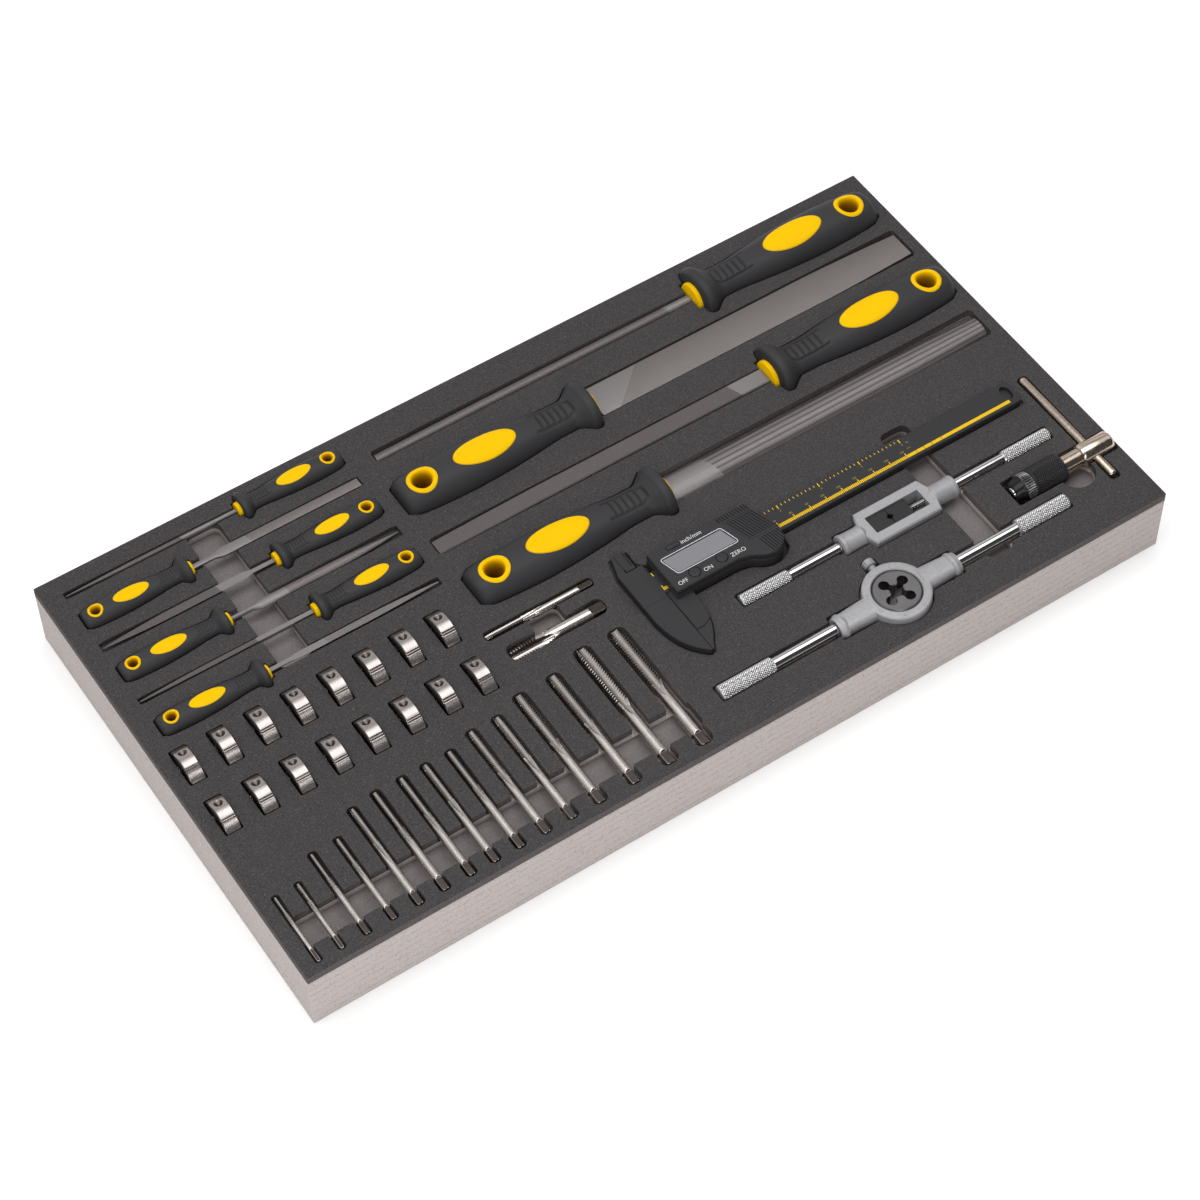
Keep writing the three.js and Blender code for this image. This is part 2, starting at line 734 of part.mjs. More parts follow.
function sliderPoints(growth, rightGrowth) {
  const left = sliderLeft - growth;
  const rest = thumbRestShares.map(([lengthShare, dropShare]) => [
    sliderLeft + lengthShare * sliderLength + rightGrowth, sliderFront - dropShare * thumbRestDrop - growth,
  ]);
  return [
    [left, sliderFront - growth],
    ...rest,
    [sliderLeft + sliderLength + sliderSlant + rightGrowth, beamFront],
    [sliderLeft + sliderLength + rightGrowth, sliderBack + growth],
    [left, sliderBack + growth],
  ];
}

const rodGroove = boxBetween(
  sliderLeft, beamRightEnd + overrun,
  beamAxisY - depthRodWidth / 2 - jawGap, beamAxisY + depthRodWidth / 2 + jawGap,
  beamBottom - overrun, beamBottom + depthRodThickness + jawGap,
);
const endHole = raised(roundedBox(
  beamRightEnd - endHoleInset - endHoleWidth / 2, beamRightEnd - endHoleInset + endHoleWidth / 2,
  beamAxisY - endHoleLength / 2, beamAxisY + endHoleLength / 2, endHoleWidth / 2 - jawGap / 2,
), beamTop - endHoleDepth, beamTop + overrun);
const beam = raised(
  roundedBox(fixedJawLeft + beamCorner, beamRightEnd, beamFront, beamBack, beamCorner), beamBottom, beamTop,
);
addPiece(
  caliper, "caliper_beam_and_fixed_jaw",
  beam.add(raised(fixedHeadOutline(), beamBottom, beamTop)).subtract(rodGroove).subtract(endHole),
  finishes.blackPlastic,
);

// Slider: a frame round the beam, the moving jaw in front, and the inside jaw on a plate under the fixed head
const beamChannel = boxBetween(
  fixedJawLeft, beamRightEnd, beamFront - jawGap, beamBack + jawGap, beamBottom - jawGap, beamTop + jawGap,
);
const insideJawLeft = insideJawRight - insideJawWidth;
const insideJawPlate = boxBetween(
  insideJawLeft, sliderLeft + sliderWall, beamBack, sliderBack, sliderBottom, sliderBottom + sliderFloor,
).add(boxBetween(
  insideJawLeft, insideJawRight, beamBack, insideJawTip, sliderBottom, sliderBottom + sliderFloor,
));
const insideJaw = boxBetween(
  insideJawLeft, insideJawRight, sliderBack + jawGap, insideJawTip, sliderBottom, beamTop,
);
const slider = raised(polygon(sliderPoints(0, 0)), sliderBottom, sliderTop)
  .subtract(beamChannel)
  .add(raised(movingJawOutline(), beamBottom, beamTop))
  .add(insideJawPlate)
  .add(insideJaw);
addPiece(caliper, "caliper_slider_and_moving_jaw", slider, finishes.blackPlastic);
addPiece(caliper, "caliper_depth_rod", boxBetween(
  sliderLeft + sliderLength / 2, beamRightEnd,
  beamAxisY - depthRodWidth / 2, beamAxisY + depthRodWidth / 2,
  beamBottom, beamBottom + depthRodThickness,
), finishes.brightSteel);

// Electronics housing on the slider, with wells for the display, the buttons, the cell and its cover
const housingBottom = sliderTop + restGap;
const housingTop = housingBottom + housingHeight;
const windowLeft = sliderLeft + windowFromLeft;
const windowBack = sliderBack - windowFromBack;

function windowOutline(growth) {
  return polygon([
    [windowLeft + windowSlant - growth, windowBack - windowDepth - growth],
    [windowLeft + windowSlant + windowWidth + growth, windowBack - windowDepth - growth],
    [windowLeft + windowWidth + growth, windowBack + growth],
    [windowLeft - growth, windowBack + growth],
  ]);
}

function unitButtonOutline(growth) {
  const left = sliderLeft + unitButtonFromLeft;
  const back = sliderBack - unitButtonFromBack;
  return roundedBox(
    left - growth, left + unitButtonWidth + growth,
    back - unitButtonDepth - growth, back + growth, unitButtonDepth / 3,
  );
}

function roundButtonOutline(fromLeft, growth) {
  return polygon(circleOutline(
    sliderLeft + fromLeft, sliderFront + roundButtonFromFront, roundButtonRadius + growth, 12,
  ));
}

const coverLeft = sliderLeft + batteryCoverFromLeft;
const coverBack = sliderBack - batteryCoverFromBack;
const coverFront = coverBack - batteryCoverDepth;
const coverSlant = (sliderSlant * batteryCoverDepth) / (sliderBack - beamFront);
const coverRightLean = (sliderSlant * batteryCoverFromBack) / (sliderBack - beamFront);
const coverRight = sliderLeft + sliderLength + coverRightLean;

function batteryCoverOutline(growth, rightGrowth) {
  return polygon([
    [coverLeft + coverSlant - growth, coverFront - growth],
    [coverRight + coverSlant + rightGrowth, coverFront - growth],
    [coverRight + rightGrowth, coverBack + growth],
    [coverLeft - growth, coverBack + growth],
  ]);
}

const cellX = (coverLeft + coverRight + coverSlant) / 2;
const cellY = (coverBack + coverFront) / 2;
const cellBottom = housingBottom + housingLid;
const coverBottom = housingTop - batteryCoverThickness;

function cellOutline(growth) {
  return polygon(circleOutline(cellX, cellY, cellRadius + growth, 16));
}

const wellBottom = housingTop - buttonWell;
let housing = raised(polygon(sliderPoints(0, 0)), housingBottom, housingTop)
  .subtract(raised(windowOutline(jawGap), housingTop - windowRecess, housingTop + overrun))
  .subtract(raised(unitButtonOutline(jawGap), wellBottom, housingTop + overrun))
  .subtract(raised(batteryCoverOutline(jawGap, 2 * sliderSlant), coverBottom - jawGap, housingTop + overrun))
  .subtract(raised(cellOutline(jawGap), cellBottom, housingTop + overrun));
for (const fromLeft of roundButtonsFromLeft) {
  housing = housing.subtract(raised(roundButtonOutline(fromLeft, jawGap), wellBottom, housingTop + overrun));
}
addPiece(caliper, "caliper_housing", housing, finishes.blackPlastic);
const windowBottom = housingTop - windowRecess + jawGap;
addPiece(
  caliper, "caliper_display_window",
  raised(windowOutline(0), windowBottom, windowBottom + windowThickness), finishes.displayGrey,
);
const buttonBottom = wellBottom + buttonTravel + jawGap / 2;
addPiece(
  caliper, "caliper_unit_button",
  raised(unitButtonOutline(0), buttonBottom, buttonBottom + buttonHeight), finishes.blackPlastic,
);
["caliper_off_button", "caliper_on_zero_button"].forEach((name, index) => {
  const outline = roundButtonOutline(roundButtonsFromLeft[index], 0);
  addPiece(caliper, name, raised(outline, buttonBottom, buttonBottom + buttonHeight), finishes.blackPlastic);
});
const cellUnderside = cellBottom + jawGap / 2;
addPiece(
  caliper, "caliper_cell", raised(cellOutline(0), cellUnderside, cellUnderside + cellThickness),
  finishes.brightSteel,
);
addPiece(
  caliper, "caliper_battery_cover", raised(batteryCoverOutline(0, 0), coverBottom, housingTop),
  finishes.blackPlastic,
);

// Foam round the caliper: shallow under the beam and jaws, deeper under the slider
const beamFloor = trayHeight + beamBottom - fileFloorGap;
const sliderFoamFloor = trayHeight + sliderBottom - fileFloorGap;
pocket(roundedBox(
  fixedJawLeft - foamGap, beamRightEnd + foamGap, beamFront - foamGap, beamBack + foamGap, beamCorner,
), beamFloor);
pocket(polygon(sliderPoints(foamGap, 0)), sliderFoamFloor);
pocket(polygon(sliderPoints(foamGap, sliderPocketShift)), sliderFoamFloor);
pocket(polygon([
  [jawParting - foamGap, jawTip - foamGap],
  ...movingJawShares.map(([widthShare, reachShare]) => [
    movingJawRight - widthShare * movingJawWidth + foamGap, jawTip + reachShare * jawReach - foamGap / 2,
  ]),
  [movingJawRight + foamGap, beamAxisY],
  [fixedJawLeft - foamGap, beamAxisY],
  ...[...jawCurveShares].reverse().map(([widthShare, reachShare]) => [
    fixedJawLeft + widthShare * fixedJawWidth - foamGap, jawTip + reachShare * jawReach - foamGap / 2,
  ]),
]), beamFloor);
pocket(polygon([
  [fixedJawLeft - foamGap, beamAxisY],
  [sliderLeft, beamAxisY],
  [sliderLeft, sliderBack + foamGap],
  [insideJawLeft, insideJawTip + foamGap],
  [insideJawLeft - insideJawWidth / 2, insideJawTip + foamGap],
  [fixedJawLeft - foamGap, sliderBack + foamGap],
]), beamFloor);
pocket(polygon([
  [insideJawLeft - foamGap, beamBack],
  [sliderLeft, beamBack],
  [sliderLeft, sliderBack + foamGap],
  [insideJawRight + sliderPocketShift, sliderBack + foamGap],
  [insideJawRight + sliderPocketShift, insideJawTip + foamGap],
  [insideJawLeft - foamGap, insideJawTip + foamGap],
]), sliderFoamFloor);

// Bar tap wrench: a frame with a window, a fixed handle, a turning handle whose screw draws the moving jaw
const tapWrench = toolGroup(0, tapWrenchY, tapWrenchDepth, 0);
const frameRight = wrenchFrameLeft + wrenchFrameLength;
const frameHalf = wrenchFrameWidth / 2;
const windowHalf = wrenchWindowWidth / 2;
const frameWindowLeft = wrenchFrameLeft + wrenchWindowWall;
const frameWindowRight = frameRight - wrenchWindowWall;
const frameShoulder = frameHalf - wrenchChamferWidth;

function wrenchFramePoints(growth) {
  return [
    [wrenchFrameLeft - growth, -frameShoulder],
    [wrenchFrameLeft + wrenchChamferLength, -frameHalf - growth],
    [frameRight - wrenchChamferLength, -frameHalf - growth],
    [frameRight + growth, -frameShoulder],
    [frameRight + growth, frameShoulder],
    [frameRight - wrenchChamferLength, frameHalf + growth],
    [wrenchFrameLeft + wrenchChamferLength, frameHalf + growth],
    [wrenchFrameLeft - growth, frameShoulder],
  ];
}

const wrenchCollars = [wrenchFrameLeft - wrenchCollarLength, frameRight + wrenchCollarLength];
const leftCollar = roundBar([
  [wrenchCollars[0], wrenchCollarRadius],
  [wrenchFrameLeft + overrun, wrenchCollarRootShare * wrenchCollarRadius],
], 14);
const rightCollar = roundBar([
  [frameRight - overrun, wrenchCollarRootShare * wrenchCollarRadius], [wrenchCollars[1], wrenchCollarRadius],
], 14);
const leftSocket = roundBar([
  [wrenchCollars[0] - overrun, wrenchRodRadius + turnGap],
  [wrenchCollars[0] + wrenchSocketDepth, wrenchRodRadius + turnGap],
], 12);
const rightSocket = roundBar([
  [frameWindowRight - overrun, wrenchScrewRadius + turnGap],
  [wrenchCollars[1] - wrenchSocketDepth, wrenchScrewRadius + turnGap],
  [wrenchCollars[1] - wrenchSocketDepth, wrenchRodRadius + turnGap],
  [wrenchCollars[1] + overrun, wrenchRodRadius + turnGap],
], 12);
const frameHalfThickness = wrenchFrameThickness / 2;
const wrenchFrame = raised(polygon(wrenchFramePoints(0)), -frameHalfThickness, frameHalfThickness)
  .add(leftCollar)
  .add(rightCollar)
  .subtract(boxBetween(
    frameWindowLeft, frameWindowRight, -windowHalf, windowHalf, -wrenchCollarRadius, wrenchCollarRadius,
  ))
  .subtract(leftSocket)
  .subtract(rightSocket);
addPiece(tapWrench, "tap_wrench_frame", wrenchFrame, finishes.silverPaint);
const wrenchLeftEnd = wrenchCollars[0] - wrenchHandleLength;
const wrenchRightEnd = wrenchCollars[1] + wrenchHandleLength;
const knurlBevel = wrenchKnurlRadius - wrenchRodRadius;
addPiece(tapWrench, "tap_wrench_fixed_handle", roundBar([
  [wrenchLeftEnd, wrenchRodRadius],
  [wrenchLeftEnd + knurlBevel, wrenchKnurlRadius],
  [wrenchLeftEnd + wrenchKnurlLength, wrenchKnurlRadius],
  [wrenchLeftEnd + wrenchKnurlLength + knurlBevel, wrenchRodRadius],
  [wrenchCollars[0] + wrenchSocketDepth - turnGap, wrenchRodRadius],
], 12), finishes.chrome);
const jawHalf = windowHalf - turnGap;
const jawMeeting = frameWindowLeft + wrenchJawLength;
const movingJawEnd = jawMeeting + wrenchJawLength + turnGap;
const jawFace = jawMeeting + turnGap;
const screwTip = jawFace + wrenchJawNotch + wrenchJawTravel + 2 * turnGap;
addPiece(tapWrench, "tap_wrench_turning_handle", roundBar([
  [screwTip, wrenchScrewTipShare * wrenchScrewRadius],
  [screwTip + turnGap, wrenchScrewRadius],
  [wrenchCollars[1] - wrenchSocketDepth + turnGap, wrenchScrewRadius],
  [wrenchCollars[1] - wrenchSocketDepth + turnGap, wrenchRodRadius],
  [wrenchRightEnd - wrenchKnurlLength - knurlBevel, wrenchRodRadius],
  [wrenchRightEnd - wrenchKnurlLength, wrenchKnurlRadius],
  [wrenchRightEnd - knurlBevel, wrenchKnurlRadius],
  [wrenchRightEnd, wrenchRodRadius],
], 12), finishes.chrome);
const jawHalfHeight = wrenchJawHeight / 2;
addPiece(tapWrench, "tap_wrench_fixed_jaw", raised(polygon([
  [frameWindowLeft + turnGap, -jawHalf],
  [jawMeeting, -jawHalf],
  [jawMeeting, -wrenchJawNotch],
  [jawMeeting - wrenchJawNotch, 0],
  [jawMeeting, wrenchJawNotch],
  [jawMeeting, jawHalf],
  [frameWindowLeft + turnGap, jawHalf],
]), -jawHalfHeight, jawHalfHeight), finishes.blackSteel);
const screwHole = roundBar([
  [jawFace + wrenchJawNotch + turnGap, wrenchScrewRadius + turnGap],
  [movingJawEnd + overrun, wrenchScrewRadius + turnGap],
], 12);
addPiece(tapWrench, "tap_wrench_moving_jaw", raised(polygon([
  [jawFace, -jawHalf],
  [movingJawEnd, -jawHalf],
  [movingJawEnd, jawHalf],
  [jawFace, jawHalf],
  [jawFace, wrenchJawNotch],
  [jawFace + wrenchJawNotch, 0],
  [jawFace, -wrenchJawNotch],
]), -jawHalfHeight, jawHalfHeight).subtract(screwHole), finishes.blackSteel);

// The plan of a tool that lies along X, cut as one rectangle for each part of its length
function slotAlong(left, right, y, half, floor) {
  pocket(roundedBox(left - foamGap, right + foamGap, y - half - foamGap, y + half + foamGap, foamGap), floor);
}

const tapWrenchAxis = trayHeight - tapWrenchDepth;
pocket(
  polygon(wrenchFramePoints(foamGap).map(([x, y]) => [x, y + tapWrenchY])),
  tapWrenchAxis - frameHalfThickness - fileFloorGap,
);
slotAlong(
  wrenchCollars[0], wrenchCollars[1], tapWrenchY, wrenchCollarRadius,
  tapWrenchAxis - wrenchCollarRadius - fileFloorGap,
);
slotAlong(
  wrenchLeftEnd, wrenchRightEnd, tapWrenchY, wrenchKnurlRadius,
  tapWrenchAxis - wrenchKnurlRadius - fileFloorGap,
);

// Die stock: a ring that seats the die, two arms, two screwed-in handles and the clamp screw
const dieStock = toolGroup(dieStockX, dieStockY, dieStockDepth, 0);
const ringBottom = -ringHeight / 2;
const ringTop = ringHeight / 2;
const seatRadius = dieRadius + turnGap;
const seatFloor = ringBottom + ringLip;
const lipRadius = dieRadius - ringLipWidth;
const handleStart = stockArmReach - stockSocketDepth;

function stockArm(side) {
  const section = roundSection(10);
  const collarStart = stockArmReach - stockCollarLength;
  const rootHeight = stockArmHeightShare * stockArmRootRadius;
  const stations = [
    { at: ringRadius - ringLipWidth, width: stockArmRootRadius, height: rootHeight },
    { at: collarStart, width: stockArmEndRadius, height: stockArmHeightShare * stockArmEndRadius },
    { at: collarStart + turnGap, width: stockCollarRadius, height: stockArmEndRadius },
    { at: stockArmReach, width: stockCollarRadius, height: stockArmEndRadius },
  ].map((station) => ({ ...station, section }));
  const socket = roundBar([
    [handleStart, stockRodRadius + turnGap], [stockArmReach + overrun, stockRodRadius + turnGap],
  ], 10, turned(side));
  return along(stations, turned(side)).subtract(socket);
}

const clampHole = roundBar([
  [0, clampScrewRadius + turnGap], [ringRadius + overrun, clampScrewRadius + turnGap],
], 10, quarterTurn);
const ring = raised(polygon(circleOutline(0, 0, ringRadius, 28)), ringBottom, ringTop)
  .add(stockArm(1))
  .add(stockArm(-1))
  .subtract(raised(polygon(circleOutline(0, 0, seatRadius, 24)), seatFloor, ringTop + overrun))
  .subtract(raised(polygon(circleOutline(0, 0, lipRadius, 24)), ringBottom - overrun, ringTop + overrun))
  .subtract(clampHole);
addPiece(dieStock, "die_stock_ring_and_arms", ring, finishes.silverPaint);
const stockKnurlBevel = stockKnurlRadius - stockRodRadius;
for (const [name, side] of [["die_stock_left_handle", -1], ["die_stock_right_handle", 1]]) {
  addPiece(dieStock, name, roundBar([
    [handleStart + turnGap, stockRodRadius],
    [stockHandleReach - stockKnurlLength - stockKnurlBevel, stockRodRadius],
    [stockHandleReach - stockKnurlLength, stockKnurlRadius],
    [stockHandleReach - stockKnurlBevel, stockKnurlRadius],
    [stockHandleReach, stockRodRadius],
  ], 10, turned(side)), finishes.chrome);
}
addPiece(dieStock, "die_stock_clamp_screw", roundBar([
  [seatRadius, 0.5 * clampScrewRadius],
  [seatRadius + clampScrewRadius, clampScrewRadius],
  [ringRadius + turnGap, clampScrewRadius],
  [ringRadius + turnGap, clampNeckRadius],
  [ringRadius + clampNeckLength, clampNeckRadius],
  [ringRadius + clampNeckLength, clampHeadRadius],
  [ringRadius + clampNeckLength + clampHeadLength, clampHeadRadius],
], 10, quarterTurn), finishes.silverPaint);

// The bore of a die with its four chip holes, as a curve in polar form
function cloverOutline(radius) {
  const steps = 24;
  const lobes = 4;
  const points = [];
  for (let i = 0; i < steps; i += 1) {
    const angle = (2 * Math.PI * i) / steps;
    const reach = radius * (1 + cloverShare * Math.cos(lobes * angle + Math.PI));
    points.push([reach * Math.cos(angle), reach * Math.sin(angle)]);
  }
  return polygon(points);
}
const dieBottom = seatFloor + restGap;
addPiece(
  dieStock, "die_in_stock",
  raised(polygon(circleOutline(0, 0, dieRadius, 24)), dieBottom, dieBottom + dieThickness)
    .subtract(raised(cloverOutline(dieBoreRadius), dieBottom - overrun, dieBottom + dieThickness + overrun)),
  finishes.blackSteel,
);
const stockAxis = trayHeight - dieStockDepth;
pocket(
  polygon(circleOutline(dieStockX, dieStockY, ringRadius + foamGap, 24)),
  stockAxis - ringHeight / 2 - fileFloorGap,
);
slotAlong(
  dieStockX - stockArmReach, dieStockX + stockArmReach, dieStockY, stockCollarRadius,
  stockAxis - stockArmEndRadius - fileFloorGap,
);
slotAlong(
  dieStockX - stockHandleReach, dieStockX + stockHandleReach, dieStockY, stockKnurlRadius,
  stockAxis - stockKnurlRadius - fileFloorGap,
);
pocket(roundedBox(
  dieStockX - clampHeadRadius - foamGap, dieStockX + clampHeadRadius + foamGap,
  dieStockY, dieStockY + ringRadius + clampNeckLength + clampHeadLength + foamGap, foamGap,
), stockAxis - clampHeadRadius - fileFloorGap);

// T-handle tap wrench: head and spindle, tommy bar, chuck sleeve and chuck jaws
const teeWrench = toolGroup(teeX, teeY, teeDepth, Math.PI);
const neckEnd = teeHeadBeforeBar + teeNeckLength;
const sleeveStart = neckEnd + turnGap;
const spindleEnd = neckEnd + teeSpindleLength;
const sleeveEnd = sleeveStart + teeSleeveLength;
const noseEnd = sleeveEnd + teeNoseLength;
const barHole = roundBar([
  [-teeHeadRadius - overrun, teeBarRadius + turnGap], [teeHeadRadius + overrun, teeBarRadius + turnGap],
], 12, quarterTurn);
addPiece(teeWrench, "tee_wrench_head_and_spindle", roundBar([
  [-teeHeadPastBar, teeHeadRadius - teeHeadRound],
  [-teeHeadPastBar + teeHeadRound, teeHeadRadius],
  [teeHeadBeforeBar - teeHeadRound / 2, teeHeadRadius],
  [teeHeadBeforeBar, teeNeckRadius],
  [neckEnd, teeNeckRadius],
  [neckEnd, teeSpindleRadius],
  [spindleEnd, teeSpindleRadius],
], 16).subtract(barHole), finishes.nickel);
addPiece(teeWrench, "tee_wrench_tommy_bar", roundBar([
  [-teeBarBack, teeRoundedEndShare * teeBarRadius],
  [-teeBarBack + teeBarRadius / 2, teeBarRadius],
  [teeBarFront - teeBarRadius / 2, teeBarRadius],
  [teeBarFront, teeRoundedEndShare * teeBarRadius],
], 10, quarterTurn), finishes.nickel);
const sleeveBore = roundBar([
  [sleeveStart - overrun, teeSpindleRadius + turnGap], [noseEnd + overrun, teeSpindleRadius + turnGap],
], 14);
addPiece(teeWrench, "tee_wrench_chuck_sleeve", roundBar([
  [sleeveStart, teeSleeveRadius - turnGap],
  [sleeveStart + turnGap, teeSleeveRadius],
  [sleeveEnd, teeSleeveRadius],
  [noseEnd, teeNoseRadius],
], 18).subtract(sleeveBore), finishes.blackSteel);
const jawsEnd = noseEnd + teeJawProud;
const jawSlot = boxBetween(
  jawsEnd - teeJawSlotLength, jawsEnd + overrun, -teeJawRadius - overrun, teeJawRadius + overrun,
  -teeJawSlot / 2, teeJawSlot / 2,
);
addPiece(teeWrench, "tee_wrench_chuck_jaws", roundBar([
  [jawsEnd - teeJawLength, teeJawRadius],
  [jawsEnd - teeJawProud, teeJawRadius],
  [jawsEnd, teeRoundedEndShare * teeJawRadius],
], 12).subtract(jawSlot), finishes.chrome);
const teeAxis = trayHeight - teeDepth;
slotAlong(
  teeX - jawsEnd, teeX - sleeveStart, teeY, teeSleeveRadius,
  teeAxis - teeSleeveRadius - fileFloorGap,
);
slotAlong(
  teeX - sleeveStart, teeX + teeHeadPastBar, teeY, teeHeadRadius,
  teeAxis - teeHeadRadius - fileFloorGap,
);
pocket(roundedBox(
  teeX - teeBarRadius - foamGap, teeX + teeBarRadius + foamGap,
  teeY - teeBarFront - teeBarPocketShift, teeY + teeBarBack + foamGap, foamGap,
), teeAxis - teeBarRadius - fileFloorGap);

// Foam tray: a plain base slab, a layer that holds the pockets and the dark top sheet
for (const { left, right, front, back } of [needleTrough, tapTrough, wrenchTrough, middleTapTrough]) {
  pocket(roundedBox(left, right, front, back, troughCorner, 3), troughFloor);
}
pocket(polygon(circleOutline(reliefX, reliefY, reliefRadius, 16)), troughFloor);
for (const { left, right, y, height } of dieTies) {
  const half = dieTieRadius + restGap;
  pocket(boxOutline(left, right, y - half, y + half), height - half);
}

function slab(bottom, top) {
  return boxBetween(-trayHalfLength, trayHalfLength, -trayHalfWidth, trayHalfWidth, bottom, top);
}

function cutWith(solid, list) {
  const top = trayHeight + overrun;
  return list.reduce((left, { outline, floor }) => left.subtract(raised(outline, floor, top)), solid);
}

const dieTiePockets = pockets.slice(-dieTies.length);
const openPockets = pockets.slice(0, -dieTies.length);
addPiece(object, "foam_base_slab", slab(0, baseThickness), finishes.paleFoam);
const corePockets = [...openPockets, ...dieTiePockets].filter(({ floor }) => floor < sheetUnderside);
addPiece(
  object, "foam_pocket_layer", cutWith(slab(baseThickness, sheetUnderside), corePockets), finishes.paleFoam,
);
addPiece(object, "foam_top_sheet", cutWith(slab(sheetUnderside, trayHeight), openPockets), finishes.darkFoam);

export default object;
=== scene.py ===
# %% [markdown]
# # A drawer tray of threading, filing and measuring tools
# This notebook dresses a finished CAD frame. The frame brings every solid at its true place and size; each
# cell below makes one kind of piece in finer form, gives it a finish, and lets it ride on the CAD body it
# belongs to. All shapes are worked out in millimetres with numpy and put into meshes in metres.

# %% The frame
import math

import bmesh
import bpy
import numpy as np
from mathutils import Matrix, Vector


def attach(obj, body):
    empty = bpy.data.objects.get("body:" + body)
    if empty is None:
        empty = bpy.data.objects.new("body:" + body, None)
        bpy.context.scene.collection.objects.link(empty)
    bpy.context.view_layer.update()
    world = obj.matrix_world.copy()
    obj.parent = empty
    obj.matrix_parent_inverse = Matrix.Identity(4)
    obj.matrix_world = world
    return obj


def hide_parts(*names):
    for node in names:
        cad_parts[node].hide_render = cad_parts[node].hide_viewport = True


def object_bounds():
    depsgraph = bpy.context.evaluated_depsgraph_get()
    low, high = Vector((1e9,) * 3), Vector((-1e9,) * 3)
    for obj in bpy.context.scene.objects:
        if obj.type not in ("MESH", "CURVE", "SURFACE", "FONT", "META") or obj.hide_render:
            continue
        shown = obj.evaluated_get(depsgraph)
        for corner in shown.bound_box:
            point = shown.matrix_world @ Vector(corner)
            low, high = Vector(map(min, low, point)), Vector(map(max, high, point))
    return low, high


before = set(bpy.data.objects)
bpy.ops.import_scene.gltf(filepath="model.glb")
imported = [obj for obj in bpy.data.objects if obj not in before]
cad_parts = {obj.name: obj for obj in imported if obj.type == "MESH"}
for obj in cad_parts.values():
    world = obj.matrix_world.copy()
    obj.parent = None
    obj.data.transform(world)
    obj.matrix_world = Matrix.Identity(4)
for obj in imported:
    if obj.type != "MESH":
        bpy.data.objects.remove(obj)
cad_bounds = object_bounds()

# %% [markdown]
# ## Camera
# The photograph looks down on the tray from the front left with a long lens. A camera is a place and three
# axes: right, up and backwards. The forward axis comes from a compass angle and a downward angle, and the
# roll turns the other two about it.

# %% Camera
LENS_TURN = math.radians(32.856)
LENS_DOWN = math.radians(53.497)
LENS_ROLL = math.radians(-0.918)
LENS_PLACE = (-0.548045, -0.843294, 1.350246)
FOCAL_PIXELS = 3289.28
PHOTO_PIXELS = 1200


def link_aimed(name, data, right, up, back, place):
    """Links a camera or a lamp whose own three axes are given; it looks along minus back."""
    axes = np.eye(4)
    axes[:3] = np.column_stack([right, up, back, place])
    made = bpy.data.objects.new(name, data)
    bpy.context.scene.collection.objects.link(made)
    made.matrix_world = Matrix(axes.tolist())
    return made


def make_camera():
    """Forward is (sin turn cos down, cos turn cos down, -sin down); right and up follow, with the roll."""
    level = math.cos(LENS_DOWN)
    forward = np.array([math.sin(LENS_TURN) * level, math.cos(LENS_TURN) * level, -math.sin(LENS_DOWN)])
    right = np.cross(forward, (0, 0, 1))
    right /= np.linalg.norm(right)
    up = np.cross(right, forward)
    c, s = math.cos(LENS_ROLL), math.sin(LENS_ROLL)
    data = bpy.data.cameras.new("camera")
    data.sensor_fit = "HORIZONTAL"
    data.lens = FOCAL_PIXELS / PHOTO_PIXELS * data.sensor_width
    camera = link_aimed("camera", data, c * right + s * up, c * up - s * right, -forward, LENS_PLACE)
    bpy.context.scene.camera = camera
    return camera


camera = make_camera()
bpy.context.scene.view_settings.view_transform = "Standard"
print("camera: lens", round(camera.data.lens, 2), "mm")

# %% [markdown]
# ## Light and floor
# Steel only looks like steel when it has something to mirror, so the world is a studio of pale strips and
# dark gaps, as a photographer hangs screens round a table. One table gives its brightness on the way over the
# tray from the back to the front, a second one from the right to the left, and the two are multiplied. Near
# the horizon it is white. A large soft lamp overhead and a strip at the front give most of the light and the
# soft shadow. The floor is white to the camera and still keeps that shadow: it adds a little glow to a plain
# white surface, more where the lamps no longer reach, and only for the rays that show it.

# %% Small helpers for shader nodes
def connect(tree, node, inputs):
    """Gives sockets, by name or number, a number, a colour or another node's output."""
    for name, value in inputs.items():
        if isinstance(value, bpy.types.NodeSocket):
            tree.links.new(value, node.inputs[name])
        else:
            node.inputs[name].default_value = value


def add(tree, kind, inputs=None, **settings):
    """Makes a node with its settings and inputs."""
    made = tree.nodes.new(kind)
    for name, value in settings.items():
        setattr(made, name, value)
    connect(tree, made, inputs or {})
    return made


def reckon(tree, operation, *values):
    """The result of a Math node for up to three numbers or outputs."""
    return add(tree, "ShaderNodeMath", dict(enumerate(values)), operation=operation).outputs[0]


def ranged(tree, value, start, end, low=0.0, high=1.0, easing="LINEAR"):
    """A value that runs from start to end as one that runs from low to high, held level beyond them."""
    return add(tree, "ShaderNodeMapRange", {"Value": value, "From Min": start, "From Max": end, "To Min": low,
                                            "To Max": high}, interpolation_type=easing).outputs["Result"]


def mixed(tree, share, first, second):
    """Two colours mixed: the first at a share of 0, the second at 1."""
    return add(tree, "ShaderNodeMixRGB", {0: share, 1: first, 2: second}).outputs[0]


def cloudy(tree, place, scale, detail, roughness=0.5):
    """Noise between 0 and 1 over a place."""
    return add(tree, "ShaderNodeTexNoise", {"Vector": place, "Scale": scale, "Detail": detail,
                                            "Roughness": roughness}).outputs[0]


def own_place(tree):
    """A point's place on its piece: the Object coordinates, in metres."""
    return add(tree, "ShaderNodeTexCoord").outputs["Object"]


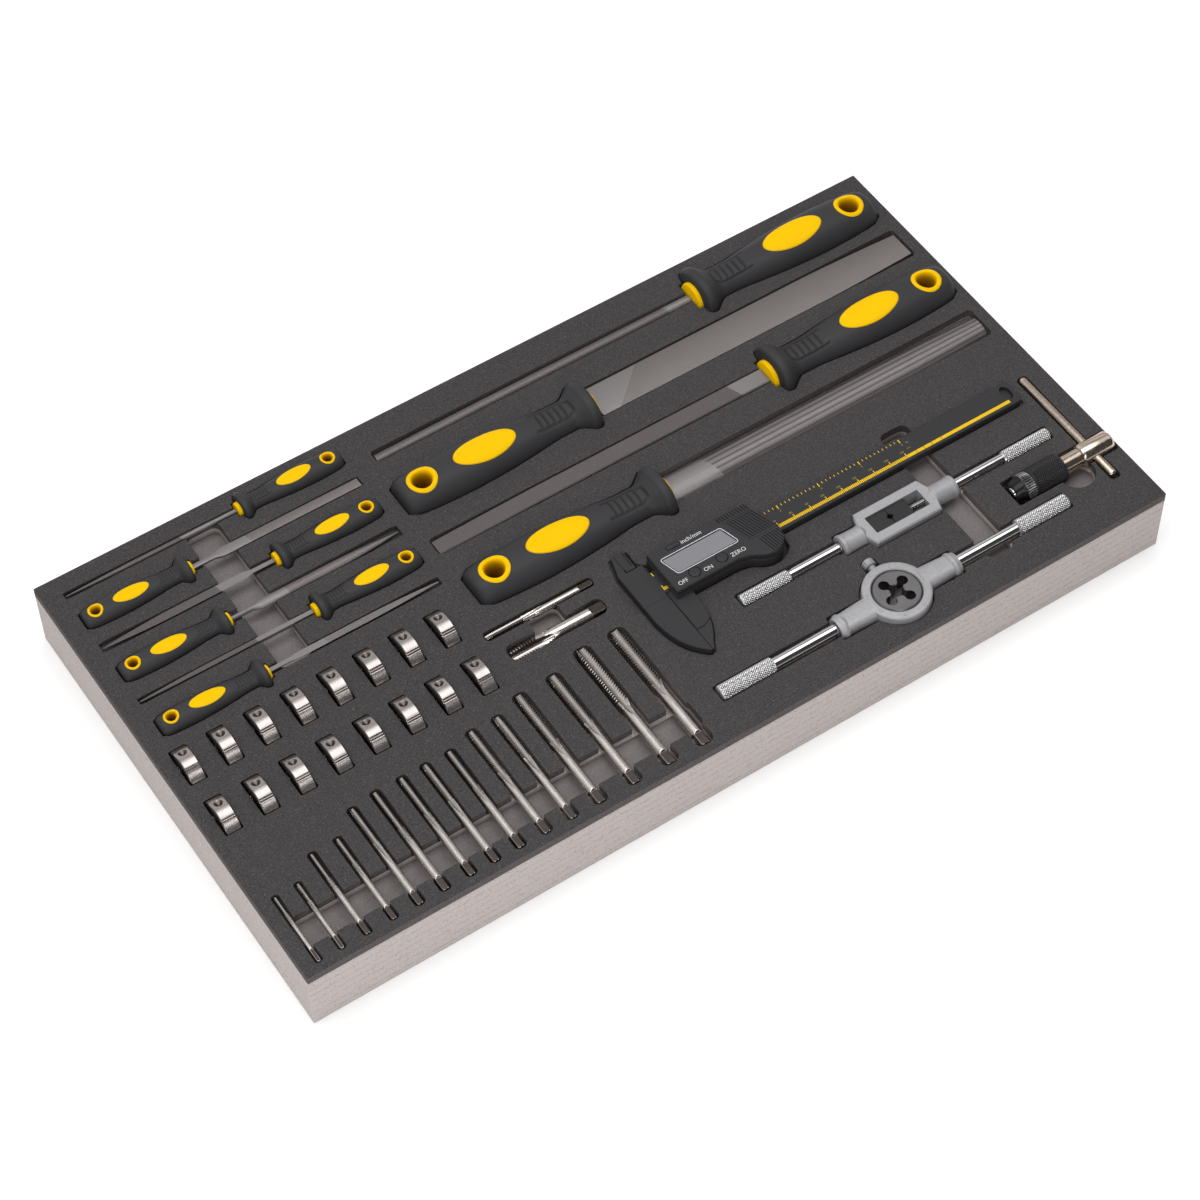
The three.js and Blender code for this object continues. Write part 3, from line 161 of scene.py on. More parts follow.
def linear(red, green, blue):
    """A screen colour from 0 to 255 as linear light: below 0.04 divided by 12.92, above it a power of 2.4."""
    share = np.array([red, green, blue]) / 255
    light = np.where(share <= 0.04045, share / 12.92, ((share + 0.055) / 1.055) ** 2.4)
    return (*light.tolist(), 1.0)


# %% World, lamps and floor
# Degrees of the way over the tray and the brightness there
BACK_TO_FRONT = [(0, 0.8), (44, 0.8), (54, 0.42), (62, 0.42), (72, 1.2), (98, 1.2), (106, 0.08), (180, 0.08)]
RIGHT_TO_LEFT = [(0, 0.35), (26, 0.35), (36, 1.0), (51, 1.0), (56, 0.55), (62, 0.55), (68, 1.2), (140, 1.2),
                 (150, 0.35), (180, 0.35)]
LIGHTEST = 2.0
WHITE = (1, 1, 1, 1)
HORIZON_BAND = (0.03, 0.1)
# Distances in metres from the middle of the floor, and the glow there
GLOW_REACH = (0.6, 1.8)
FLOOR_GLOW, FAR_GLOW = 0.3, 0.65
FLOOR_HALF, FLOOR_DROP, FLOOR_GREY = 6.0, 0.0002, 0.8


def strips(tree, height, aside, table):
    """Brightness by the angle atan2(height, aside), straight between the rows of a table."""
    share = reckon(tree, "DIVIDE", reckon(tree, "ARCTAN2", height, aside), math.pi)
    ramp = add(tree, "ShaderNodeValToRGB", {"Fac": share})
    while len(ramp.color_ramp.elements) < len(table):
        ramp.color_ramp.elements.new(0.5)
    for element, (degrees, level) in zip(ramp.color_ramp.elements, table):
        element.position = degrees / 180
        element.color = (level / LIGHTEST, level / LIGHTEST, level / LIGHTEST, 1)
    return reckon(tree, "MULTIPLY", ramp.outputs["Color"], LIGHTEST)


def make_world():
    """The product of the two tables, and white in a low band along the horizon."""
    world = bpy.data.worlds.new("studio")
    bpy.context.scene.world = world
    world.use_nodes = True
    tree = world.node_tree
    tree.nodes.clear()
    direction = add(tree, "ShaderNodeTexCoord").outputs["Generated"]
    parts = add(tree, "ShaderNodeSeparateXYZ", {"Vector": direction}).outputs
    both = reckon(tree, "MULTIPLY", strips(tree, parts["Z"], parts["Y"], BACK_TO_FRONT),
                  strips(tree, parts["Z"], parts["X"], RIGHT_TO_LEFT))
    low = ranged(tree, parts["Z"], *HORIZON_BAND)
    level = add(tree, "ShaderNodeMix", {0: low, 2: 1.0, 3: both}).outputs[0]
    sky = add(tree, "ShaderNodeBackground", {"Color": WHITE, "Strength": level})
    add(tree, "ShaderNodeOutputWorld", {"Surface": sky.outputs[0]})


def make_lamp(name, place, target, size, power):
    """A rectangular area lamp at a place, turned so that it shines at the target."""
    data = bpy.data.lights.new(name, "AREA")
    data.shape = "RECTANGLE"
    data.size, data.size_y = size
    data.energy = power
    away = np.array(place) - np.array(target)
    away /= np.linalg.norm(away)
    side = np.cross((0.0, 1.0, 0.0), away)
    side /= np.linalg.norm(side)
    link_aimed(name, data, side, np.cross(away, side), away, place)


def make_floor():
    """A large square just under the tray: white diffuse light plus a glow that only visible rays see."""
    mesh = bpy.data.meshes.new("floor")
    level = cad_bounds[0][2] - FLOOR_DROP
    corners = [(x * FLOOR_HALF, y * FLOOR_HALF, level) for x, y in [(-1, -1), (1, -1), (1, 1), (-1, 1)]]
    mesh.from_pydata(corners, [], [(0, 1, 2, 3)])
    floor = bpy.data.objects.new("floor", mesh)
    bpy.context.scene.collection.objects.link(floor)
    material = bpy.data.materials.new("floor")
    material.use_nodes = True
    tree = material.node_tree
    tree.nodes.clear()
    path = add(tree, "ShaderNodeLightPath").outputs
    seen = reckon(tree, "MAXIMUM", path["Is Camera Ray"], path["Is Glossy Ray"])
    seen = reckon(tree, "MAXIMUM", seen, path["Is Transmission Ray"])
    away = add(tree, "ShaderNodeVectorMath", {0: own_place(tree)}, operation="LENGTH").outputs["Value"]
    glow = reckon(tree, "MULTIPLY", seen, ranged(tree, away, *GLOW_REACH, FLOOR_GLOW, FAR_GLOW))
    white = add(tree, "ShaderNodeBsdfDiffuse", {"Color": (FLOOR_GREY, FLOOR_GREY, FLOOR_GREY, 1)})
    light = add(tree, "ShaderNodeEmission", {"Color": WHITE, "Strength": glow})
    both = add(tree, "ShaderNodeAddShader", {0: white.outputs[0], 1: light.outputs[0]})
    add(tree, "ShaderNodeOutputMaterial", {"Surface": both.outputs[0]})
    mesh.materials.append(material)


make_world()
make_lamp("overhead_softbox", (-0.05, 0.0, 1.4), (-0.05, 0.0, 0), (1.8, 0.95), 9.2)
make_lamp("front_strip", (-0.6, -1.15, 0.65), (-0.1, 0, 0), (1.9, 0.25), 8.0)
make_floor()
print("stage: two lamps, a studio sky and a white floor")

# %% [markdown]
# ## Finishes
# Every finish is a Principled surface in its own material. What several finishes share is a node group that
# is built once: a fine grain that stretches along one axis, a soft mottling from handling, and painted shade
# that darkens grooves, holes and the sides of pockets towards a darker groove colour, brownish on cut steel.
# The meshes carry an attribute called recess, from 0 on the outside to 1 in the bottom of a groove, so the
# painted shade follows the real shape.

# %% Node groups that the finishes share
SOCKETS = {"number": "NodeSocketFloat", "colour": "NodeSocketColor", "vector": "NodeSocketVector"}


def new_group(name, inputs):
    """A shader node group with input sockets of given kinds, and the outputs of its first node."""
    group = bpy.data.node_groups.new(name, "ShaderNodeTree")
    for socket, kind in inputs.items():
        group.interface.new_socket(socket, in_out="INPUT", socket_type=SOCKETS[kind])
    return group, group.nodes.new("NodeGroupInput").outputs


def close_group(group, outputs):
    """Gives the group its output sockets, each with its kind and what arrives there."""
    for socket, (kind, _) in outputs.items():
        group.interface.new_socket(socket, in_out="OUTPUT", socket_type=SOCKETS[kind])
    add(group, "NodeGroupOutput", {socket: value for socket, (_, value) in outputs.items()})
    return group


def use(tree, group, inputs=None):
    """Places a node group in a tree with its own values and gives its outputs."""
    return add(tree, "ShaderNodeGroup", inputs, node_tree=group).outputs


def make_grain_group():
    """Noise of a given size, stretched by a vector: its value, and the value sharpened to specks."""
    group, start = new_group("grain", {"Stretch": "vector", "Scale": "number", "Specks": "number"})
    drawn = add(group, "ShaderNodeVectorMath", {0: own_place(group), 1: start["Stretch"]},
                operation="MULTIPLY")
    noise = cloudy(group, drawn.outputs[0], start["Scale"], 4.0, 0.6)
    speck = ranged(group, noise, start["Specks"], 0.8, easing="SMOOTHSTEP")
    return close_group(group, {"Value": ("number", noise), "Speck": ("number", speck)})


def make_tone_group():
    """Mixes a colour towards a darker groove colour by the recess attribute, which paints shade into grooves
    and recesses, and mottles both by a soft noise.
    """
    group, start = new_group("groove_shade", {"Colour": "colour", "Groove": "colour", "Mottle": "number",
                                             "Scale": "number"})
    depth = add(group, "ShaderNodeAttribute", attribute_name="recess").outputs["Fac"]
    noise = cloudy(group, own_place(group), start["Scale"], 3.0, 0.55)
    shade = reckon(group, "MULTIPLY_ADD", ranged(group, noise, 0.3, 0.7, -0.5, 0.5), start["Mottle"], 1.0)
    tone = mixed(group, depth, start["Colour"], start["Groove"])
    scaled = add(group, "ShaderNodeVectorMath", {0: tone, "Scale": shade}, operation="SCALE")
    return close_group(group, {"Colour": ("colour", scaled.outputs[0])})


def make_facing_group():
    """1 on level faces and 0 on upright ones, from the height of the normal without its sign; it places
    painted light on upright faces.
    """
    group, _ = new_group("wall_light", {})
    normal = add(group, "ShaderNodeNewGeometry").outputs["Normal"]
    height = reckon(group, "ABSOLUTE", add(group, "ShaderNodeSeparateXYZ", {"Vector": normal}).outputs["Z"])
    return close_group(group, {"Level": ("number", ranged(group, height, 0.4, 0.85, easing="SMOOTHSTEP"))})


grain_group = make_grain_group()
groove_shade_group = make_tone_group()
wall_light_group = make_facing_group()


# %% Finishes made of those groups
# The groove colour of every finish is painted shade, laid by the recess attribute in grooves, holes and the
# sides of pockets; on cut steel it is brownish.
GRAIN_RELIEF = 0.0002


def finish(name, colour, groove=None, mottle=0.12, mottle_scale=60.0, rough=(0.4, 0.55), metal=0.0,
           stretch=(1, 1, 1), grain=900.0, bump=0.1, speck=None, speck_level=0.62, painted_wall_light=None, gloss=0.5):
    """Principled surface: colour with painted groove shade and, where given, painted light on upright faces;
    roughness that follows the grain, and the grain as a fine bump.
    """
    material = bpy.data.materials.new(name)
    material.use_nodes = True
    tree = material.node_tree
    plain = linear(*colour)
    # A lighter colour on upright faces: painted light, as the front lamp would give the sides.
    if painted_wall_light is not None:
        plain = mixed(tree, use(tree, wall_light_group)["Level"], linear(*painted_wall_light), plain)
    surface = use(tree, groove_shade_group, {"Colour": plain, "Groove": linear(*(groove or colour)), "Mottle": mottle,
                                     "Scale": mottle_scale})["Colour"]
    grains = use(tree, grain_group, {"Stretch": stretch, "Scale": grain, "Specks": speck_level})
    if speck is not None:
        surface = mixed(tree, grains["Speck"], surface, linear(*speck))
    relief = add(tree, "ShaderNodeBump", {"Height": grains["Value"], "Strength": bump,
                                          "Distance": GRAIN_RELIEF})
    connect(tree, tree.nodes["Principled BSDF"], {
        "Base Color": surface, "Roughness": ranged(tree, grains["Value"], 0.3, 0.7, *rough),
        "Normal": relief.outputs[0], "Metallic": metal, "Specular IOR Level": gloss})
    material.diffuse_color = linear(*colour)
    return material


# The dark foam's lighter colour on its upright outer sides is painted light; its groove colour is painted
# shade in the pockets.
dark_foam = finish("dark_foam", (68, 66, 67), groove=(62, 59, 59), mottle=0.8, mottle_scale=1700.0,
                   rough=(0.9, 1.0), grain=1300.0, bump=0.6, speck=(122, 115, 112), speck_level=0.56,
                   painted_wall_light=(98, 92, 92), gloss=0.15)
grip_rubber = finish("grip_rubber", (51, 51, 53), groove=(30, 30, 31), mottle=0.08, rough=(0.5, 0.62),
                     grain=2500.0, bump=0.08, gloss=0.3)
grip_yellow = finish("grip_yellow", (250, 198, 0), groove=(150, 104, 6), mottle=0.04, rough=(0.42, 0.5),
                     grain=2200.0, bump=0.06, gloss=0.06)
bright_steel = finish("bright_steel", (168, 161, 158), groove=(78, 68, 62), mottle=0.08, mottle_scale=150.0,
                      rough=(0.24, 0.34), metal=1.0, stretch=(0.2, 1, 1), grain=1600.0, bump=0.02)
tap_steel = finish("tap_steel", (206, 199, 194), groove=(84, 76, 72), mottle=0.08, mottle_scale=120.0,
                   rough=(0.2, 0.3), metal=1.0, stretch=(1, 0.15, 1), grain=1500.0, bump=0.03)
knurl_chrome = finish("knurl_chrome", (230, 229, 229), groove=(74, 72, 72), mottle=0.04, rough=(0.26, 0.36),
                      metal=0.9, grain=300.0, bump=0.01)
chrome = finish("chrome", (214, 214, 215), groove=(52, 52, 54), mottle=0.03, rough=(0.05, 0.1), metal=1.0,
                grain=300.0, bump=0.01)
cast_silver = finish("cast_silver", (166, 165, 167), groove=(120, 118, 118), mottle_scale=700.0,
                     rough=(0.45, 0.65), metal=0.4, grain=1100.0, bump=0.5, speck=(190, 189, 191),
                     speck_level=0.6)
nickel_steel = finish("nickel_steel", (206, 190, 174), groove=(110, 92, 78), mottle=0.1, rough=(0.14, 0.26),
                      metal=1.0, grain=500.0, bump=0.03)
serrated_steel = finish("serrated_steel", (140, 138, 139), groove=(40, 39, 39), mottle=0.1,
                        rough=(0.25, 0.35), metal=0.8, bump=0.03)
die_steel = finish("die_steel", (112, 110, 111), groove=(46, 45, 46), mottle=0.2, rough=(0.3, 0.42),
                   metal=0.8, bump=0.05)
black_steel = finish("black_steel", (52, 51, 52), groove=(20, 19, 19), mottle=0.15, rough=(0.34, 0.5),
                     metal=0.6, bump=0.08)
black_plastic = finish("black_plastic", (45, 45, 47), groove=(22, 22, 23), mottle=0.06, rough=(0.46, 0.6),
                       grain=2600.0, bump=0.06, gloss=0.3)
LAYER_HALF, LAYER_WAVE, LAYER_WIDTH = 0.0026, 0.3, 0.16
LAYER_BROWN = (160, 138, 126)


def current_colour(material):
    """What now feeds a finish's colour, so that another layer can go over it."""
    return material.node_tree.nodes["Principled BSDF"].inputs["Base Color"].links[0].from_socket


def pale_foam_finish():
    """Coarse pale foam in glued layers: a broken brown line where height / 2.6 mm is near an even number."""
    # The groove colour is painted shade: the pockets and finger troughs come out darker than the outer sides.
    material = finish("pale_foam", (207, 198, 195), groove=(126, 121, 120), mottle=0.36, mottle_scale=1500.0,
                      rough=(0.9, 1.0), bump=0.7, speck=(148, 130, 121), speck_level=0.55, gloss=0.15)
    tree = material.node_tree
    place = own_place(tree)
    height = add(tree, "ShaderNodeSeparateXYZ", {"Vector": place}).outputs["Z"]
    drawn = add(tree, "ShaderNodeVectorMath", {0: place, 1: (1.0, 1.0, 2.5)}, operation="MULTIPLY").outputs[0]
    noise = cloudy(tree, drawn, 420.0, 3.0)
    layers = reckon(tree, "MULTIPLY_ADD", height, 1 / LAYER_HALF, 0.35)
    layers = reckon(tree, "MULTIPLY_ADD", noise, LAYER_WAVE, layers)
    line = ranged(tree, reckon(tree, "PINGPONG", layers, 1.0), 0.0, LAYER_WIDTH, 1.0, 0.0)
    line = reckon(tree, "MULTIPLY", line, ranged(tree, noise, 0.42, 0.56, 0.1, 0.85))
    over = mixed(tree, line, current_colour(material), linear(*LAYER_BROWN))
    connect(tree, tree.nodes["Principled BSDF"], {"Base Color": over})
    return material


pale_foam = pale_foam_finish()
print("finishes:", len(bpy.data.materials) - 1)

# %% [markdown]
# ## Helpers for surfaces
# Nearly every tool is a surface over two parameters: how far along the tool, and how far round it. The
# helpers below lay such a grid of points out as faces, close its ends, and turn the tool to its place in the
# tray.

# %% From a grid of points to a mesh
# From millimetres to metres, and back
METRES, MILLIMETRES = 0.001, 1000


def full_turn(steps):
    """Angles spread evenly over a full turn."""
    return np.arange(steps) * 2 * math.pi / steps


def grid_faces(rows, columns, closed_rows=False, closed_columns=True, first=0):
    """Quads (i, j), (i, j+1), (i+1, j+1), (i+1, j) over a grid, counted round where it is closed."""
    i, j = np.meshgrid(np.arange(rows if closed_rows else rows - 1),
                       np.arange(columns if closed_columns else columns - 1), indexing="ij")
    below, right = (i + 1) % rows, (j + 1) % columns
    quads = np.stack([i * columns + j, i * columns + right, below * columns + right, below * columns + j],
                     axis=-1)
    return quads.reshape(-1, 4) + first


def lay(points, place):
    """Turns points about Z by the heading and moves them: x cos t - y sin t + X, x sin t + y cos t + Y."""
    x, y, z, turn = place
    c, s = math.cos(turn), math.sin(turn)
    points = np.asarray(points, float)
    return np.stack([c * points[..., 0] - s * points[..., 1] + x,
                     s * points[..., 0] + c * points[..., 1] + y, points[..., 2] + z], axis=-1)


def moved(part, place):
    """A part of a mesh laid at a tool's place."""
    points, faces, tone = part
    return lay(points, place), faces, tone


def toned(part):
    """A cutter that leaves painted groove shade on what it cuts."""
    points, faces, tone = part
    return points, faces, tone + 1


def shell(points, closed_rows=False, recess=None):
    """One part of a mesh from a grid (rows, columns, 3): points, faces with flat caps, the attribute."""
    rows, columns = points.shape[:2]
    faces = grid_faces(rows, columns, closed_rows).tolist()
    if not closed_rows:
        faces.append(list(range(columns))[::-1])
        faces.append(list(range((rows - 1) * columns, rows * columns)))
    tone = np.zeros((rows, columns)) if recess is None else np.broadcast_to(recess, (rows, columns))
    return points.reshape(-1, 3), faces, tone.reshape(-1)


def joined(parts):
    """Several (points, faces, recess) parts as one, their face numbers moved up by the points before them."""
    points, faces, tones, first = [], [], [], 0
    for part_points, part_faces, tone in parts:
        points.append(part_points)
        faces.extend([[corner + first for corner in face] for face in part_faces])
        tones.append(tone)
        first += len(part_points)
    return np.concatenate(points), faces, np.concatenate(tones)


def mesh_object(name, part):
    """Puts a part into a new object at the origin, in metres, with its faces turned outwards."""
    points, faces, tone = part
    mesh = bpy.data.meshes.new(name)
    mesh.from_pydata((np.asarray(points) * METRES).tolist(), [], faces)
    attribute = mesh.attributes.new("recess", "FLOAT", "POINT")
    attribute.data.foreach_set("value", np.asarray(tone, np.float32))
    work = bmesh.new()
    work.from_mesh(mesh)
    bmesh.ops.recalc_face_normals(work, faces=work.faces)
    work.to_mesh(mesh)
    work.free()
    made = bpy.data.objects.new(name, mesh)
    bpy.context.scene.collection.objects.link(made)
    return made


made_pieces = []


def dress(made, material, body, nodes=(), slot=None, angle=30):
    """Gives smooth shading up to an angle, a material, the body and the nodes it stands for; the slot is not
    used.
    """
    mesh = made.data
    mesh.polygons.foreach_set("use_smooth", np.ones(len(mesh.polygons), bool))
    mesh.set_sharp_from_angle(angle=math.radians(angle))
    mesh.materials.clear()
    mesh.materials.append(material)
    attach(made, body)
    # The frame has materials of the same names, so Blender adds .001 to those of the finishes
    for node in nodes:
        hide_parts(node)
    made_pieces.append(made.name)
    return made


def piece(name, part, *how, **more):
    """A part of a mesh as a finished piece."""
    return dress(mesh_object(name, part), *how, **more)


def smooth_through(stations, at):
    """A curve through the stations that never overshoots: cubic pieces whose slopes are harmonic means."""
    x, y = np.array(stations, float).T
    step = np.diff(x)
    slope = np.diff(y) / step
    inner = np.where(slope[1:] * slope[:-1] > 0, 2 * slope[1:] * slope[:-1] / np.where(
        slope[1:] + slope[:-1] == 0, 1, slope[1:] + slope[:-1]), 0)
    lean = np.concatenate([[slope[0]], inner, [slope[-1]]])
    k = np.clip(np.searchsorted(x, at, "right") - 1, 0, len(step) - 1)
    t = (at - x[k]) / step[k]
    a, b, d0, d1 = y[k], y[k + 1], lean[k] * step[k], lean[k + 1] * step[k]
    from_the_left = (2 * t**3 - 3 * t**2 + 1) * a + (t**3 - 2 * t**2 + t) * d0
    return from_the_left + (3 * t**2 - 2 * t**3) * b + (t**3 - t**2) * d1


def around_axis(at, radius, angle):
    """Points (at, radius cos angle, radius sin angle) for arrays that spread over rows and columns."""
    at, radius, angle = np.broadcast_arrays(at, radius, angle)
    return np.stack([at, radius * np.cos(angle), radius * np.sin(angle)], axis=-1)


def turned_part(stations, columns, place):
    """A lathe shape along +X through stations of (at, radius), with flat ends."""
    at, radius = np.array(stations, float).T[:, :, None]
    return shell(lay(around_axis(at, radius, full_turn(columns)), place))


# %% [markdown]
# ## The foam tray
# The real tray is a block of pale foam with a dark sheet glued on top, both cut through by the same knife.
# The lips of the pockets are a little rounded. Each pocket here is an outline and a floor height; a cutter
# rises from the floor, flares outwards at the top of the foam, and is taken away from both slabs. A slot for
# a die on edge gets narrower towards the top, because soft foam closes round the die.

# %% Outlines of the pockets
TRAY_HALF_LENGTH = 252.5
TRAY_HALF_WIDTH = 134.0
TRAY_TOP = 41.0
SHEET_UNDERSIDE = 36.0
GAP = 0.8
FLOOR_GAP = 0.4
pockets = []


def rounded_box(left, right, front, back, corner, steps=6):
    """Anticlockwise outline of a rectangle whose corners are quarter circles."""
    angle = np.linspace(0, math.pi / 2, steps + 1)
    centres = [(right - corner, back - corner), (left + corner, back - corner),
               (left + corner, front + corner), (right - corner, front + corner)]
    quarters = [np.column_stack([x + corner * np.cos(angle + k * math.pi / 2),
                                 y + corner * np.sin(angle + k * math.pi / 2)])
                for k, (x, y) in enumerate(centres)]
    return np.concatenate(quarters)


def circle_outline(x, y, radius, steps=48):
    """Anticlockwise circle."""
    angle = full_turn(steps)
    return np.column_stack([x + radius * np.cos(angle), y + radius * np.sin(angle)])


def outline_at(outline, place):
    """A flat outline laid at a tool's place."""
    return lay(np.column_stack([outline, np.zeros(len(outline))]), place)[:, :2]


def tool_outline(at, half, place):
    """Anticlockwise outline of a tool from half widths along its axis, grown by the gap, at its place."""
    at = np.array(at, float)
    at[0] -= GAP
    at[-1] += GAP
    half = np.array(half, float) + GAP
    return outline_at(np.concatenate([np.column_stack([at, -half]), np.column_stack([at, half])[::-1]]),
                      place)


def ring_at(outline, height):
    """A flat outline lifted to a height."""
    return np.column_stack([outline, np.full(len(outline), height)])


def grown(outline, distance):
    """Each point moved along the mean of the two edge normals beside it; anticlockwise grows outwards."""
    ahead = np.roll(outline, -1, axis=0) - outline
    ahead = ahead / np.maximum(np.linalg.norm(ahead, axis=1), 1e-9)[:, None]
    normal = np.column_stack([ahead[:, 1], -ahead[:, 0]])
    normal = normal + np.roll(normal, 1, axis=0)
    length = np.maximum(np.linalg.norm(normal, axis=1), 1.0)[:, None]
    return outline + normal / length**2 * 2 * distance


def prism(outline, levels):
    """A solid whose outline grows by an amount at each height: levels are (height, growth) pairs."""
    return shell(np.stack([ring_at(grown(outline, growth), height) for height, growth in levels]))


def bevelled_prism(outline, bottom, top, bevel):
    """A plate whose upper and lower edges are cut back by a bevel."""
    return prism(outline, [(bottom, -bevel), (bottom + bevel, 0), (top - bevel, 0), (top, -bevel)])


def carved(made, cutters, operation="DIFFERENCE"):
    """Takes every cutter part away from an object, keeps the result as its mesh and deletes the cutters."""
    tools = [mesh_object(f"{made.name}_cutter_{i}", part) for i, part in enumerate(cutters)]
    for tool in tools:
        cut = made.modifiers.new(tool.name, "BOOLEAN")
        cut.operation = operation
        cut.solver = "MANIFOLD"
        cut.object = tool
    graph = bpy.context.evaluated_depsgraph_get()
    mesh = bpy.data.meshes.new_from_object(made.evaluated_get(graph))
    made.modifiers.clear()
    old = made.data
    made.data = mesh
    bpy.data.meshes.remove(old)
    mesh.name = made.name
    for tool in tools:
        bpy.data.meshes.remove(tool.data)
    return made


# %% [markdown]
# ## Where the tools lie
# The tables give each tool's axis, heading and size in millimetres, as the CAD source does. A heading of 0
# draws the tool towards +X, half a turn towards -X, a quarter turn towards +Y.

# %% Tables of the tools
HALF_TURN = math.pi
QUARTER_TURN = math.pi / 2
LARGE_FILES = [
    ("round", 245.5, 111.2, HALF_TURN, 196.0, 6.4, 6.4),
    ("flat", -72.0, 79.0, 0.0, 200.0, 20.0, 5.0),
    ("square", 247.5, 44.4, HALF_TURN, 203.0, 10.0, 10.0),
    ("half_round", -72.0, 10.8, 0.0, 200.0, 18.4, 6.0),
]
LARGE = {"length": 114.5, "radius": 14.2, "height": 0.93, "flange": 16.0, "flange_width": 7.0, "collar": 9.3,
         "collar_width": 2.5, "hole": 4.2, "hole_at": 13.5, "ring": 8.2, "oval_at": 51.0, "oval": (18.5, 8.4),
         "grooves": (84.0, 99.0), "groove_reach": 5.6, "axis": TRAY_TOP - 3.2}
NEEDLE_FILES = [
    ("triangular", 4.0, 2.4, 0.15), ("square", 2.6, 2.6, 0.3), ("half_round", 6.0, 2.0, 0.1),
    ("knife", 5.0, 1.8, 0.1), ("flat", 5.4, 1.6, 1.0), ("round", 2.8, 2.8, 0.3),
]
NEEDLE = {"length": 59.0, "radius": 6.9, "height": 0.9, "flange": 8.4, "flange_width": 4.0, "collar": 4.2,
          "collar_width": 2.0, "hole": 2.0, "hole_at": 7.0, "ring": 4.0, "oval_at": 27.0, "oval": (10.0, 4.1),
          "grooves": (43.5, 50.0), "groove_reach": 2.8, "axis": TRAY_TOP - 1.2}
NEEDLE_LENGTH = 158.5
NEEDLE_LEFT, NEEDLE_RIGHT = -241.0, -82.5
NEEDLE_PITCH = 0.1429 * TRAY_HALF_WIDTH
NEEDLE_FIRST = 0.1896 * TRAY_HALF_WIDTH
ROW_TAPS = [
    (-0.9616, 41.0, 2.6, 2.6), (-0.9121, 41.5, 2.8, 2.8), (-0.8574, 52.0, 3.2, 3.6),
    (-0.8008, 52.5, 3.4, 3.6), (-0.7446, 63.0, 4.0, 4.4), (-0.6891, 65.0, 4.2, 4.6),
    (-0.6317, 65.0, 4.4, 4.6), (-0.579, 65.0, 4.6, 4.6), (-0.5236, 65.0, 4.8, 4.8),
    (-0.4661, 69.0, 5.4, 5.0), (-0.4079, 69.0, 5.6, 5.0), (-0.3446, 74.0, 6.8, 5.8),
    (-0.2665, 74.5, 7.0, 5.8), (-0.1861, 80.0, 8.6, 6.4), (-0.1069, 80.0, 8.8, 6.4),
]
TAP_ROW_FRONT = -128.6
MIDDLE_TAPS = [(-0.0772, -17.0, 62.0, 4.0, 4.4), (-0.0891, -32.2, 54.5, 8.4, 7.4)]
DIE_RADIUS = 12.7
DIE_THICKNESS = 8.0
DIE_AXIS = TRAY_TOP - 6.5
DIE_PLACES = [-0.9505 * TRAY_HALF_LENGTH + 0.0812 * TRAY_HALF_LENGTH * i for i in range(8)]
DIE_ROWS = [("back", -0.9), ("front", -34.9)]
GRIP_SHARES = [(0, 0.62), (0.008, 0.74), (0.025, 0.83), (0.09, 0.92), (0.32, 1.0), (0.48, 0.96), (0.66, 0.84),
               (0.80, 0.725), (0.88, 0.72)]


def grip_half(handle, at):
    """Half the width of a handle along it: the grip's curve, then the flange with its rounded edges."""
    length, flange = handle["length"], handle["flange"]
    back = length - handle["flange_width"]
    stations = [(share * length, part * handle["radius"]) for share, part in GRIP_SHARES]
    width = handle["flange_width"]
    stations += [(back, 0.88 * flange), (back + 0.3 * width, 0.985 * flange), (back + 0.55 * width, flange),
                 (length - 0.12 * width, 0.965 * flange), (length, 0.88 * flange)]
    return smooth_through(stations, np.asarray(at, float))


def tap_depth(thread, shank):
    """How far a tap's axis lies below the top of the foam."""
    return 0.9 + 0.25 * max(thread, shank)


TAPS = [(f"tap_{i + 1:02d}", (share * TRAY_HALF_LENGTH, TAP_ROW_FRONT, TRAY_TOP - tap_depth(thread, shank),
                              QUARTER_TURN), length, thread, shank)
        for i, (share, length, thread, shank) in enumerate(ROW_TAPS)]
TAPS += [(f"tap_{i + 16}", (share * TRAY_HALF_LENGTH, y, TRAY_TOP - tap_depth(thread, shank), HALF_TURN),
          length, thread, shank) for i, (share, y, length, thread, shank) in enumerate(MIDDLE_TAPS)]

# %% Pockets of the files and taps
TANG = 2.5
NEEDLE_SHANK = 1.3
for handle in (LARGE, NEEDLE):
    handle["front"] = handle["length"] + handle["collar_width"]


def file_places(table):
    """The place of each handle's butt: the large files, or the needle files that head to and fro in turn."""
    if table is LARGE_FILES:
        return [(name, (butt, axis, LARGE["axis"], turn)) for name, butt, axis, turn, *_ in LARGE_FILES]
    butts = [(NEEDLE_LEFT, 0.0), (NEEDLE_RIGHT, HALF_TURN)]
    return [(row[0], (butts[i % 2][0], NEEDLE_FIRST + i * NEEDLE_PITCH, NEEDLE["axis"], butts[i % 2][1]))
            for i, row in enumerate(NEEDLE_FILES)]


def blade_drop(name, thickness):
    """The square blade lies level with the foam's top; the others lie on the axis of their handle."""
    return thickness / 2 - (TRAY_TOP - LARGE["axis"]) if name == "square" else 0.0


def sink(outline, underside):
    """Notes a pocket: its outline, and its floor a little under the tool."""
    pockets.append((outline, underside - FLOOR_GAP))


def sink_handle(handle, place):
    """A pocket for the handle with its collar, as deep as the flange."""
    at = np.concatenate([np.linspace(0, 0.86 * handle["length"], 24),
                         np.linspace(0.88 * handle["length"], handle["length"], 14)])
    collar = [handle["length"] + GAP, handle["front"]]
    outline = tool_outline(np.append(at, collar), np.append(grip_half(handle, at), [handle["collar"]] * 2),
                           place)
    sink(outline, place[2] - handle["flange"] * handle["height"])


